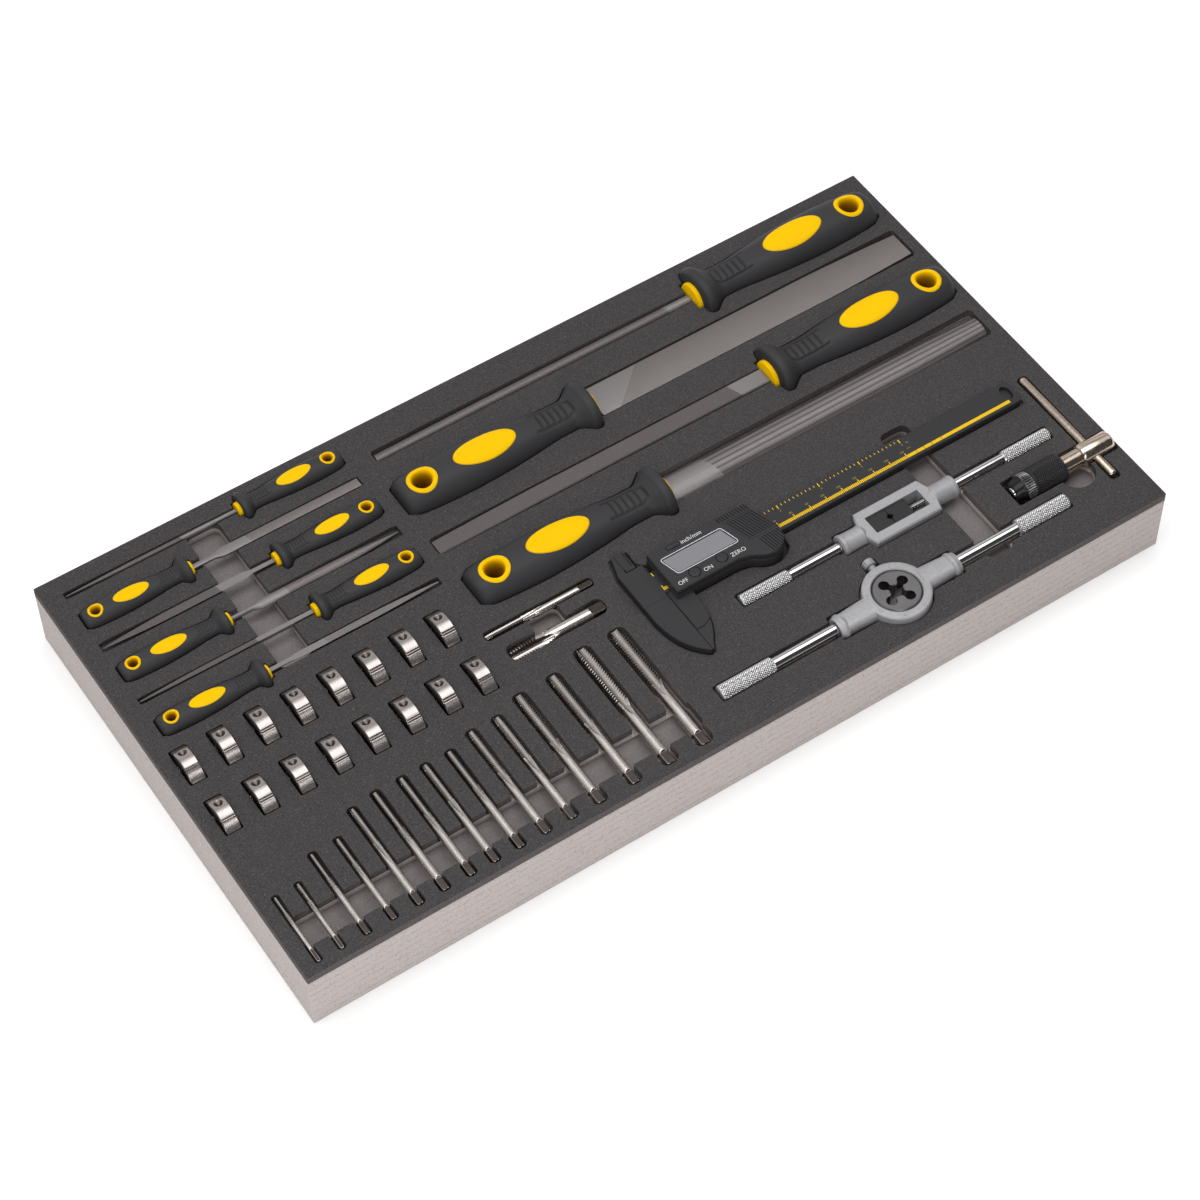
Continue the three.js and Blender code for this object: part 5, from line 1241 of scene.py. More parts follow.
def tap_part(length, thread, shank, place, turn):
    """The smallest of the body's radius, the flats, the thread, the flutes and the lead cone."""
    radius, stem = thread / 2, shank / 2
    share = min(1, length / 60)
    stem_end = 8 + 24 * share
    neck_end = stem_end + 7 * share
    neck = 0.96 * min(radius, stem)
    pitch = min(max(0.19 * thread, 0.6), 1.6)
    depth = min(0.66 * pitch, 0.15 * thread)
    start = neck_end + 0.8 * radius
    lead = length - 2 * radius
    body = [(0, stem - 0.3), (0.35, stem), (stem_end, stem), (stem_end + stem, neck), (neck_end, neck),
            (start, radius), (length, radius)]
    at = places_along([0, 0.15, 0.35, 1, 7.0, 7.2, 7.4, 7.6, 7.8, 8.0, 8.3], np.linspace(9.6, stem_end, 8),
                      np.linspace(stem_end, start, 26), np.arange(start, length, pitch / 6), [length])
    x, a = at[:, None], full_turn(60)[None, :]
    whole = np.interp(at, *zip(*body))[:, None] * np.ones_like(a)
    flat_share = 0.8 + 0.35 * np.clip((x - 7.2) / 1.1, 0, 1) ** 2
    flat = stem * flat_share / np.maximum(np.abs(np.cos(a)), np.abs(np.sin(a)))
    flat = np.where(x < 8.4, flat, FAR_OUT)
    ridge = helix_ridge(x, a, pitch)
    threaded = np.where(x > start, radius - depth * (1 - ridge), FAR_OUT)
    cone = np.where(x > lead, radius * (1 - 0.24 * (x - lead) / (length - lead)), FAR_OUT)
    rise = np.clip((neck_end + 1 - x) / (neck_end + 3 - stem_end), 0, 1.3)
    count = 4 if thread > 4.7 else 3
    flute = flute_radius(a, count, turn, radius * (1.0 + 0.62 * rise**2), 0.56 * radius)
    solid = np.minimum(np.minimum(whole, threaded), cone)
    fluted = np.minimum(np.minimum(solid, flat), flute)
    # Painted shade in the thread's roots and a little over the whole thread; the flats and the flutes take
    # the darker groove colour as well.
    in_flute = (flute < solid - 0.02) * (x > stem_end - 2)
    tone = np.where(x > start, 0.3 + 0.9 * (1 - ridge), 0.0)
    tone = np.where(x < 8.3, 1.0 * (flat < whole - 0.02), tone)
    tone = np.where(in_flute, 0.35, tone)
    return shell(lay(around_axis(x, np.maximum(fluted, 0.3 * radius), a), place), recess=tone)


# Turns of the two taps that show another side than the rest
TURNED_TAPS = {"tap_16": 0.35, "tap_17": -0.75}
for i, (name, place, length, thread, shank) in enumerate(TAPS):
    turn = math.pi / 2 + TURNED_TAPS.get(name, 0.12 * math.sin(2.1 * i))
    piece(f"{name}_ground_tool", tap_part(length, thread, shank, place, turn), tap_steel, name, [name],
          "bright_steel")
print("taps:", len(TAPS))

# %% [markdown]
# ## Dies
# A die is a closed grid: round the axis, and round the section of the ring. Its bore is a clover, with the
# radius r (1 - 0.45 cos 4 a). The rim carries a conical dimple for the clamp screw and two narrow grooves.

# %% Dies on edge
DIE_BORE, DIE_CHAMFER = 5.6, 0.45
DIMPLE_REACH, DIMPLE_DEPTH = 2.45, 1.9
RIM_GROOVE_HALF, RIM_GROOVE_DEPTH = 0.42, 0.34


def die_part(place, dimple_at, groove_at):
    """The section runs up the bore, across one side, over the rim and back across the other side."""
    radius, half = DIE_RADIUS, DIE_THICKNESS / 2
    # The columns lie closer together on top, where the rim shows its marks
    near = np.radians(np.linspace(-58, 58, 100))
    far = np.radians(np.linspace(62, 298, 48))
    angle = np.concatenate([near, far])
    rim = np.linspace(-half + DIE_CHAMFER, half - DIE_CHAMFER, 25)
    clover = DIE_BORE * (1 - 0.45 * np.cos(4 * angle))
    rows = [(-half + 0.4, clover), (-half, clover + 0.4), (-half, clover * 0.4 + radius * 0.6),
            (-half, radius - DIE_CHAMFER + 0 * angle)]
    for x in rim:
        reach = np.hypot(radius * (angle - dimple_at), x)
        dimple = DIMPLE_DEPTH * np.clip(1 - reach / DIMPLE_REACH, 0, 1)
        cut = np.zeros_like(angle)
        for line in groove_at:
            aside = np.abs(radius * (angle - line))
            cut = np.maximum(cut, RIM_GROOVE_DEPTH * np.clip(1 - aside / RIM_GROOVE_HALF, 0, 1))
        rows.append((x, radius - dimple - cut))
    rows += [(half, radius - DIE_CHAMFER + 0 * angle), (half, clover * 0.4 + radius * 0.6),
             (half, clover + 0.4), (half - 0.4, clover)]
    x = np.array([row[0] for row in rows])[:, None] * np.ones_like(angle)
    r = np.stack([np.broadcast_to(row[1], angle.shape) for row in rows])
    grid = np.stack([x, r * np.sin(-angle), r * np.cos(angle)], axis=-1)
    # Painted shade in the dimple and the rim grooves; the band between the grooves, the faces and the bore
    # are a little darker.
    aside = radius * (angle[None, :] - dimple_at)
    dimple = np.clip((2.5 - np.hypot(aside, x)) / 0.5, 0, 1)
    first, second = groove_at
    band = (np.abs(angle - (first + second) / 2) < 0.6 * (second - first))[None, :]
    grooves = np.clip((radius - r) / 0.3, 0, 1) * (np.abs(x) < half - 0.3)
    rim_rows = (np.abs(x) < half - 0.4) & (r > 11)
    tone = np.where(rim_rows, np.maximum(0.35 * band, 0.9 * grooves), 0.3)
    tone = np.maximum(0.85 * dimple * (r > 10), tone)
    return shell(lay(grid, place), closed_rows=True, recess=tone)


for row, y in DIE_ROWS:
    for i, x in enumerate(DIE_PLACES):
        wobble = 0.05 * math.sin(3.7 * i + y)
        dimple, *grooves = [math.radians(degrees) + wobble for degrees in (-17.5, 25.5, 31.5)]
        piece(f"die_{row}_{i + 1}", die_part((x, y, DIE_AXIS, 0), dimple, grooves), bright_steel, "foam_tray",
              [f"dies_{row}_row"] if i == 0 else [], angle=32)
print("dies: 16")

# %% [markdown]
# ## Knurls and screws
# A knurl is two sets of grooves that cross: the height over the bottom is the lower of two triangle waves,
# one of turn plus place and one of turn less place, cut off flat near the tips.

# %% Rods with knurled ends
KNURL_SHARPNESS = 1.45
DIAMOND_WIDTH, DIAMOND_LENGTH, DIAMOND_DEPTH = 1.45, 1.6, 0.36


def wave(value):
    """Triangle wave: 0 at whole numbers, 1 half way between them."""
    return 1 - np.abs(2 * (value % 1.0) - 1)


def knurl(at, angle, count, pitch, depth):
    """Inward depth of a diamond knurl with a number of diamonds round and a pitch along, and painted shade
    darkest in its valleys.
    """
    round_share, along_share = angle * count / (2 * math.pi), at / pitch
    height = np.minimum(wave(round_share + along_share), wave(round_share - along_share))
    height = np.clip(height * KNURL_SHARPNESS, 0, 1)
    return depth * (1 - height), np.clip(1 - 1.6 * height, 0, 1)


def relief_part(stations, at, columns, place, relief):
    """A lathe shape whose radius, straight between the stations, is less by relief(at, angle)."""
    at = np.array(at)[:, None]
    angle = full_turn(columns)
    depth, tone = relief(at, angle)
    return shell(lay(around_axis(at, np.interp(at, *zip(*stations)) - depth, angle), place), recess=tone)


def make_rod(name, rod, reach, length, start, end, place, body, node):
    """A plain rod from start on, and at its far end a knurl of a given length with bevelled ends."""
    first, bevel = end - length, 0.8
    stations = [(first - 0.7, rod), (first, reach), (end - bevel, reach), (end - 0.25, 0.86 * reach),
                (end, 0.74 * reach)]
    at = places_along([first - 0.7, first], np.arange(first, end - bevel + 0.01, 0.19),
                      [end - 0.5, end - 0.25, end])
    count = round(2 * math.pi * reach / DIAMOND_WIDTH)

    def relief(x, angle):
        depth, tone = knurl(x, angle, count, DIAMOND_LENGTH, DIAMOND_DEPTH)
        inside = np.clip((x - first) / 0.3, 0, 1) * np.clip((end - 0.3 - x) / 0.5, 0, 1)
        return depth * inside, tone * inside

    piece(f"{name}_rod", turned_part([(start, rod), (start + 1, rod), (first - 0.6, rod)], 64, place),
          chrome, body, angle=40)
    piece(f"{name}_knurl", relief_part(stations, at, count * 8, place, relief), knurl_chrome, body, [node],
          "chrome")


def threaded(stations, first, last, pitch, depth, place):
    """A lathe shape with a helical thread between two places on its axis, with painted shade in its roots."""
    at = places_along([at for at, _ in stations], np.arange(first, last, pitch / 6))

    def relief(x, angle):
        root = (1 - helix_ridge(x, angle, pitch)) * ((x > first) & (x < last))
        return depth * root, 0.8 * root

    return relief_part(stations, at, 40, place, relief)


# %% [markdown]
# ## Bar tap wrench
# The frame is one casting: a plate with cut corners, two collars with a rim, and the window between them. The
# solids are joined and carved with Boolean modifiers, then the surface gets a soft cast grain.

# %% Tap wrench
WRENCH_PLACE = (0, WRENCH_Y, WRENCH_AXIS, 0)
WINDOW_LEFT, WINDOW_RIGHT, WINDOW_HALF = WRENCH_LEFT + 6, WRENCH_RIGHT - 6, 5.6
JAW_HALF, JAW_HEIGHT, VEE = WINDOW_HALF - 0.3, 3.5, 1.8
JAW_MEET = WINDOW_LEFT + 12
ROD_START = 8.8


def plate_part(outline, bottom, top, bevel, place):
    """A bevelled plate laid at a tool's place."""
    return moved(bevelled_prism(outline, bottom, top, bevel), place)


def collar_part_of_frame(outer, inner):
    """A collar that widens to a rim at its outer end; it starts inside the frame."""
    step = 1 if inner > outer else -1
    return turned_part(sorted([
        (outer, 5.6), (outer + 0.35 * step, 6.15), (outer + 0.8 * step, WRENCH_RIM),
        (outer + 2.1 * step, WRENCH_RIM), (outer + 2.6 * step, 5.95), (inner - 2.0 * step, 5.75),
        (inner, 5.9), (inner + 3 * step, 4.0),
    ]), 48, WRENCH_PLACE)


left_end, right_end = WRENCH_COLLARS
frame_piece = mesh_object("tap_wrench_cast_frame",
                          plate_part(wrench_outline(), -WRENCH_PLATE, WRENCH_PLATE, 0.7, WRENCH_PLACE))
carved(frame_piece, [collar_part_of_frame(left_end, WRENCH_LEFT),
                     collar_part_of_frame(right_end, WRENCH_RIGHT)], "UNION")
window = rounded_box(WINDOW_LEFT, WINDOW_RIGHT, -WINDOW_HALF, WINDOW_HALF, 0.5, 3)
sockets = [[(left_end - 1, 4.1), (left_end + 0.9, 3.3), (left_end + 9, 3.3)],
           [(WINDOW_RIGHT - 1, 2.6), (right_end - 9, 2.6), (right_end - 8.9, 3.3), (right_end - 0.9, 3.3),
            (right_end + 1, 4.1)]]
carved(frame_piece, [moved(prism(window, [(-8, 0), (8, 0)]), WRENCH_PLACE)]
       + [turned_part(socket, 40, WRENCH_PLACE) for socket in sockets])
dress(frame_piece, cast_silver, "tap_wrench", ["tap_wrench_frame"], "silver_paint", 32)
for side, start, end, turn, body in [
        ("fixed", -left_end - ROD_START, -WRENCH_ENDS[0], HALF_TURN, "tap_wrench"),
        ("turning", right_end - ROD_START, WRENCH_ENDS[1], 0, "tap_wrench_turning_handle")]:
    make_rod(f"tap_wrench_{side}", 3.1, WRENCH_KNURL, 29.0, start, end, (*WRENCH_PLACE[:3], turn), body,
             f"tap_wrench_{side}_handle")
piece("tap_wrench_screw", threaded([(137.5, 1.7), (137.8, 2.2), (right_end - ROD_START, 2.2)], 137.8,
                                   right_end - 9, 1.0, 0.45, WRENCH_PLACE),
      chrome, "tap_wrench_turning_handle")
fixed_jaw = np.array([(WINDOW_LEFT + 0.2, -JAW_HALF), (JAW_MEET, -JAW_HALF), (JAW_MEET, -VEE),
                      (JAW_MEET - VEE, 0), (JAW_MEET, VEE), (JAW_MEET, JAW_HALF),
                      (WINDOW_LEFT + 0.2, JAW_HALF)])
near, far = JAW_MEET + 0.2, JAW_MEET + 12.2
moving_jaw = np.array([(near, -JAW_HALF), (far, -JAW_HALF), (far, JAW_HALF), (near, JAW_HALF), (near, VEE),
                       (JAW_MEET + 2.0, 0), (near, -VEE)])
piece("tap_wrench_fixed_vee_jaw", plate_part(fixed_jaw, -JAW_HEIGHT, JAW_HEIGHT, 0.2, WRENCH_PLACE),
      black_steel, "tap_wrench", ["tap_wrench_fixed_jaw"])
moving = mesh_object("tap_wrench_moving_vee_jaw",
                     plate_part(moving_jaw, -JAW_HEIGHT, JAW_HEIGHT, 0.2, WRENCH_PLACE))
carved(moving, [turned_part([(JAW_MEET + 2.4, 2.5), (JAW_MEET + 14, 2.5)], 40, WRENCH_PLACE)])
dress(moving, black_steel, "tap_wrench_moving_jaw", ["tap_wrench_moving_jaw"])
print("tap wrench: frame, two handles, screw, two jaws")

# %% [markdown]
# ## Die stock
# A cast ring seats the die. Two arms leave it, a little flat on top and narrowing outwards, and end in a
# bead. The chip holes of the die are four round holes joined to the thread bore by slots.

# %% Die stock
STOCK_PLACE = (STOCK_X, STOCK_Y, STOCK_AXIS, 0)
STOCK_BACKWARDS = (STOCK_X, STOCK_Y, STOCK_AXIS, QUARTER_TURN)
SEAT_RADIUS, LIP_RADIUS = DIE_RADIUS + 0.3, DIE_RADIUS - 2
# Each bar: stations of (at, half width), the height as a share of the width, and the power of the section
ARM = ([(14.6, 7.0), (17.0, 6.8), (20.0, 6.7), (31.8, 6.0), (32.4, 6.0), (33.5, 5.6)], 0.76, 3.2)
BEAD = ([(31.6, 5.6), (32.4, 6.2), (32.9, 6.9), (33.7, 7.2), (34.6, 7.1), (35.4, 6.6), (36.0, 6.3),
         (37.0, 6.1)], 0.83, 2.0)
RIM_MARKS = [22, 68, 112, 158, 202, 248, 292, 338]
CHIP_HOLES = [32, 122, 212, 302]


def bar_part(side, stations, flatness, power):
    """A bar from inside the ring outwards: its section is a superellipse."""
    at, width = np.array(stations).T[:, :, None]
    y, z = superellipse(width, flatness * width, full_turn(64), power)
    return shell(lay(np.stack([np.broadcast_to(side * at, y.shape), y, z], axis=-1), STOCK_PLACE))


def upright(outline, *levels):
    """A prism at the stock's place through (height, growth) pairs."""
    return moved(prism(outline, levels), STOCK_PLACE)


def disc(radius, *levels, steps=96):
    """An upright lathe shape round the die's axis."""
    return upright(circle_outline(0, 0, radius, steps), *levels)


stock = mesh_object("die_stock_cast_ring", disc(STOCK_RING, (-5, -1.0), (-4.4, -0.25), (-4, 0), (3.9, 0),
                                                (4.45, -0.18), (4.8, -0.55), (4.95, -1.0)))
rim_marks = [upright(circle_outline(15.3 * math.cos(t), 15.3 * math.sin(t), 0.85, 20), (4.5, 0), (5.1, 0),
                     (5.2, -0.15)) for t in np.radians(RIM_MARKS)]
carved(stock, [bar_part(side, *bar) for bar in (ARM, BEAD) for side in (1, -1)] + rim_marks, "UNION")
rod_sockets = [turned_part([(24.6, 3.7), (35.8, 3.7), (37.6, 5.2)], 40, (*STOCK_PLACE[:3], turn))
               for turn in (0, HALF_TURN)]
carved(stock, [disc(SEAT_RADIUS, (-3.6, 0), (4.3, 0), (5.1, 0.55), (6, 0.55)),
               disc(LIP_RADIUS, (-6, 0), (0, 0)), *rod_sockets,
               turned_part([(0, 1.9), (20, 1.9)], 32, STOCK_BACKWARDS)])
dress(stock, cast_silver, "die_stock", ["die_stock_ring_and_arms"], "silver_paint", 32)
for side, turn in [("left", HALF_TURN), ("right", 0.0)]:
    make_rod(f"die_stock_{side}", 3.4, STOCK_KNURL, 31.5, 25.2, STOCK_END, (*STOCK_PLACE[:3], turn),
             "die_stock", f"die_stock_{side}_handle")


def clamp_relief(x, angle):
    """Twelve straight grooves round the screw's head, with painted shade in them."""
    grooves = wave(angle * 12 / (2 * math.pi)) * ((x > 21.8) & (x < 24.5))
    return 0.22 * grooves, 0.5 * grooves


clamp = mesh_object("die_stock_slotted_screw", relief_part(
    [(13.0, 0.8), (14.6, 1.6), (18.0, 1.6), (18.05, 2.0), (21.2, 2.0), (21.25, 3.2), (21.6, 3.5), (24.7, 3.5),
     (25.2, 3.0)],
    [13.0, 14.6, 18.0, 18.05, 21.2, 21.25, 21.6, 21.9, 24.4, 24.7, 25.2], 96, STOCK_BACKWARDS, clamp_relief))
slot = prism(rounded_box(STOCK_X - 4.5, STOCK_X + 4.5, STOCK_Y + 24.1, STOCK_Y + 26, 0.05, 1),
             [(STOCK_AXIS - 0.5, 0), (STOCK_AXIS + 0.5, 0)])
carved(clamp, [slot])
dress(clamp, cast_silver, "die_stock_clamp_screw", ["die_stock_clamp_screw"], "silver_paint")
black_die = mesh_object("die_in_stock_black",
                        disc(DIE_RADIUS, (-3.3, -0.5), (-2.8, 0), (3.9, 0), (4.7, -0.8)))
# The cutters below leave painted shade on the sides of the chip holes and the bore.
chip_cutters = []
for t in np.radians(CHIP_HOLES):
    c, s = math.cos(t), math.sin(t)
    hole = upright(circle_outline(7.0 * c, 7.0 * s, 2.75, 40), (-6, 0), (4.5, 0), (5.5, 0.6))
    chip_cutters.append(toned(hole))
    half = 1.75
    outline = np.array([(half * s, -half * c), (7 * c + half * s, 7 * s - half * c),
                        (7 * c - half * s, 7 * s + half * c), (-half * s, half * c)])
    chip_cutters.append(toned(upright(outline, (-6, 0), (6, 0))))
chip_cutters.append(toned(disc(3.3, (-6, 0), (4.0, 0), (5.5, 1.2), steps=48)))
carved(black_die, chip_cutters)
dress(black_die, die_steel, "die_in_stock", ["die_in_stock"], "black_steel")
print("die stock: ring, two handles, clamp screw, die")

# %% [markdown]
# ## T-handle tap wrench
# The chuck sleeve is black with a diamond knurl. The ring in front of it has straight ridges of bare steel
# with grooves darkened by painted shade, the cone before it is dark, and the jaws look out of it. The tommy
# bar slides through the head.

# %% T-handle wrench
TEE_PLACE = (TEE_X, TEE_Y, TEE_AXIS, HALF_TURN)
TEE_BACKWARDS = (TEE_X, TEE_Y, TEE_AXIS, QUARTER_TURN)
SLEEVE_END = TEE_SLEEVE + TEE_SLEEVE_LENGTH
NOSE_END = SLEEVE_END + TEE_NOSE_LENGTH
RING_START = SLEEVE_END - 5.6
RIDGES = 36
head = mesh_object("tee_wrench_nickel_head", turned_part([
    (-12.2, 4.0), (-12.0, 4.9), (-11.4, 5.6), (-10.4, 6.05), (-9.4, TEE_HEAD_RADIUS), (6.2, TEE_HEAD_RADIUS),
    (6.9, 6.0), (7.5, 5.5), (7.8, 5.0), (19.4, 5.0), (19.5, 3.8), (38.4, 3.8)], 64, TEE_PLACE))
carved(head, [turned_part([(-8, 2.55), (8, 2.55)], 40, TEE_BACKWARDS)])
dress(head, nickel_steel, "tee_wrench", ["tee_wrench_head_and_spindle"], angle=32)
piece("tee_wrench_sliding_bar", turned_part([
    (TEE_BAR_START, 1.0), (-19.1, 1.6), (-18.6, 2.1), (-17.9, 2.35), (-17.2, TEE_BAR_RADIUS),
    (55.4, TEE_BAR_RADIUS), (56.1, 2.35), (56.8, 2.1), (57.3, 1.6), (TEE_BAR_END, 1.0)], 40, TEE_BACKWARDS),
    nickel_steel, "tee_wrench_tommy_bar", ["tee_wrench_tommy_bar"], angle=40)


def sleeve_relief(x, angle):
    """A diamond knurl between two plain bands."""
    depth, tone = knurl(x, angle, 38, 1.5, 0.34)
    inside = np.clip((x - TEE_SLEEVE - 1.6) / 0.2, 0, 1) * np.clip((RING_START - 1.0 - x) / 0.2, 0, 1)
    return depth * inside, tone * inside


def nose_relief(x, angle):
    """Straight grooves round the ring with painted shade in them; the cone in front of it has the darker
    groove colour all over.
    """
    grooves = wave(angle * RIDGES / (2 * math.pi))
    return (0.5 * grooves * ((x > RING_START + 0.5) & (x < SLEEVE_END - 0.3)),
            np.maximum(grooves, 1.0 * (x > SLEEVE_END - 0.2)))


sleeve_at = places_along(
    [TEE_SLEEVE, TEE_SLEEVE + 0.5, TEE_SLEEVE + 1.6, RING_START - 1.0, RING_START - 0.5, RING_START],
    np.arange(TEE_SLEEVE + 1.8, RING_START - 1.2, 0.21))
sleeve = mesh_object("tee_wrench_knurled_sleeve", relief_part(
    [(TEE_SLEEVE, 7.2), (TEE_SLEEVE + 0.5, 7.8), (TEE_SLEEVE + 1.6, TEE_SLEEVE_RADIUS),
     (RING_START - 0.5, TEE_SLEEVE_RADIUS), (RING_START, 7.4)], sleeve_at, 228, TEE_PLACE, sleeve_relief))
bore = turned_part([(TEE_SLEEVE - 1, 4.1), (NOSE_END + 2, 4.1)], 40, TEE_PLACE)
carved(sleeve, [bore])
dress(sleeve, black_steel, "tee_wrench_chuck_sleeve", ["tee_wrench_chuck_sleeve"])
nose = mesh_object("tee_wrench_serrated_nose", relief_part(
    [(RING_START - 0.2, 7.2), (RING_START + 0.3, 7.7), (SLEEVE_END - 0.5, TEE_SLEEVE_RADIUS),
     (SLEEVE_END, 7.4), (SLEEVE_END + 1.6, 6.5), (NOSE_END - 0.8, 5.9), (NOSE_END, 5.3)],
    [RING_START - 0.2, RING_START + 0.3, RING_START + 0.8, SLEEVE_END - 1.2, SLEEVE_END - 0.5, SLEEVE_END,
     SLEEVE_END + 1.6, NOSE_END - 0.8, NOSE_END], 6 * RIDGES, TEE_PLACE, nose_relief))
carved(nose, [bore])
dress(nose, serrated_steel, "tee_wrench_chuck_sleeve", slot="black_steel")
jaws = mesh_object("tee_wrench_split_jaws", turned_part([
    (NOSE_END - 9.4, 3.6), (NOSE_END - 0.4, 3.6), (NOSE_END + 0.3, 3.2), (NOSE_END + 0.6, 2.6)],
    48, TEE_PLACE))
mouth = turned_part([(NOSE_END - 5, 1.3), (NOSE_END, 1.3), (NOSE_END + 1.4, 2.4)], 32, TEE_PLACE)
SLIT = [(-4.2, -0.8), (4.2, -0.8), (4.2, 0.8), (-4.2, 0.8)]
slit = shell(np.array([[(at, y, z) for y, z in SLIT] for at in (NOSE_END - 5.4, NOSE_END + 1)]))
carved(jaws, [moved(slit, TEE_PLACE), mouth])
dress(jaws, chrome, "tee_wrench_chuck_jaws", ["tee_wrench_chuck_jaws"])
print("T-handle wrench: head, bar, sleeve, nose, jaws")

# %% [markdown]
# ## Digital caliper
# Beam, slider and housing are plates with bevelled edges, joined and carved. The marks on the beam are thin
# raised prints: one tick for each millimetre, a longer one for each ten, and a second row in tenths of an
# inch. Words and numbers start as text, become meshes at once, and are laid on the surface they are printed
# on.

# %% Plates, prints and words
CALIPER_PLACE = (0, 0, TRAY_TOP, 0)
BEAM_TOP, BEAM_BOTTOM = 3.4, -1.0
SLIDER_TOP, SLIDER_BOTTOM = 5.1, -3.7
HOUSING_BOTTOM, HOUSING_TOP = 5.4, 9.2
PRINT_HEIGHT = 0.04
# Heights at which a cutter ends above the beam, and above everything
PAST_BEAM, PAST_HOUSING = 9, 12
# The height of a capital as a share of the font's size
CAPITAL_SHARE = 0.73


def box_outline(left, right, front, back):
    """Anticlockwise rectangle."""
    return np.array([(left, front), (right, front), (right, back), (left, back)], float)


def slanted_outline(left, right, front, back, lean):
    """A box whose front side is shifted along X by a lean."""
    return np.array([(left + lean, front), (right + lean, front), (right, back), (left, back)], float)


def print_parts(outlines, top):
    """Thin raised plates, one for each outline."""
    return joined([moved(prism(outline, [(top - 0.02, 0), (top + PRINT_HEIGHT, 0)]), CALIPER_PLACE)
                   for outline in outlines])


def words(name, table, top, material, body):
    """Texts as one piece: each row gives the text, the middle of its line and the height of its capitals."""
    parts = []
    for text, x, y, height in table:
        curve = bpy.data.curves.new(name, "FONT")
        curve.body = text
        curve.size = height / CAPITAL_SHARE
        curve.align_x = "CENTER"
        curve.extrude = PRINT_HEIGHT / 2
        curve.resolution_u = 4
        holder = bpy.data.objects.new(name, curve)
        bpy.context.scene.collection.objects.link(holder)
        graph = bpy.context.evaluated_depsgraph_get()
        mesh = bpy.data.meshes.new_from_object(holder.evaluated_get(graph))
        points = np.empty(len(mesh.vertices) * 3)
        mesh.vertices.foreach_get("co", points)
        points = points.reshape(-1, 3) + (x, y - height / 2, TRAY_TOP + top + PRINT_HEIGHT / 2)
        parts.append((points, [list(face.vertices) for face in mesh.polygons], np.zeros(len(points))))
        bpy.data.objects.remove(holder)
        bpy.data.curves.remove(curve)
        bpy.data.meshes.remove(mesh)
    piece(name, joined(parts), material, body, slot="black_plastic")


print_yellow = finish("print_yellow", (236, 190, 8), mottle=0.06, rough=(0.45, 0.55), grain=1500.0, bump=0.02,
                      gloss=0.2)
print_dim = finish("print_dim", (164, 138, 40), mottle=0.3, mottle_scale=900.0, rough=(0.5, 0.6), bump=0.02)
print_white = finish("print_white", (214, 214, 214), mottle=0.04, rough=(0.45, 0.55), grain=1500.0, bump=0.02)
display_grey = finish("display_grey", (134, 133, 138), mottle=0.05, mottle_scale=40.0, rough=(0.12, 0.18),
                      grain=400.0, bump=0.0)

# %% Beam with the fixed jaws
def plate(name, outline, bottom, top, bevel=0.3):
    """A bevelled plate of the caliper as an object."""
    return mesh_object(name, plate_part(outline, bottom, top, bevel, CALIPER_PLACE))


def cutter(outline, bottom, top=PAST_HOUSING):
    """An upright cutter in the caliper's heights."""
    return moved(prism(outline, [(bottom, 0), (top, 0)]), CALIPER_PLACE)


fixed_right = JAW_PARTING - 0.15
inside_gap_left = INSIDE_LEFT - 0.3
head_outline = np.concatenate([
    [(fixed_right, JAW_TIP), (fixed_right, SLIDER_BACK), (inside_gap_left, SLIDER_BACK),
     (inside_gap_left, INSIDE_TIP), (inside_gap_left - 1.4, INSIDE_TIP), (FIXED_LEFT, SLIDER_BACK)],
    jaw_curve(False)[::-1]])
beam_piece = plate("caliper_scale_beam", rounded_box(FIXED_LEFT + 2, BEAM_END, BEAM_FRONT, BEAM_BACK, 3.0),
                   BEAM_BOTTOM, BEAM_TOP, 0.35)
carved(beam_piece, [plate_part(head_outline, BEAM_BOTTOM, BEAM_TOP, 0.3, CALIPER_PLACE)], "UNION")
end_hole = circle_outline(0, 0, 1.0, 40) * (2.9, 4.7) + (BEAM_END - 5.0, BEAM_AXIS + 0.6)
facet = np.array([(fixed_right + 1, JAW_TIP - 1), (fixed_right + 1, JAW_TIP + 22),
                  (fixed_right - 1.0, JAW_TIP + 19)])
carved(beam_piece, [
    cutter(end_hole, BEAM_TOP - 2.2, PAST_BEAM),
    cutter(box_outline(SLIDER_LEFT, BEAM_END + 1, BEAM_AXIS - 1.35, BEAM_AXIS + 1.35), BEAM_BOTTOM - 1,
           BEAM_BOTTOM + 1.35),
    cutter(box_outline(FIXED_LEFT - 1, JAW_PARTING, BEAM_FRONT - 2.2, BEAM_FRONT - 2.0), BEAM_TOP - 0.12,
           PAST_BEAM),
    cutter(facet, BEAM_TOP - 0.5, PAST_BEAM)])
dress(beam_piece, black_plastic, "caliper", ["caliper_beam_and_fixed_jaw"])

# %% The scale on the beam
SCALE_ZERO = 6.4
TICK_FRONT, TICK_BACK, LONG_TICK_BACK = -44.3, -42.4, -41.0
INCH_BACK, INCH_FRONT, LONG_INCH_FRONT = -31.9, -33.2, -34.2
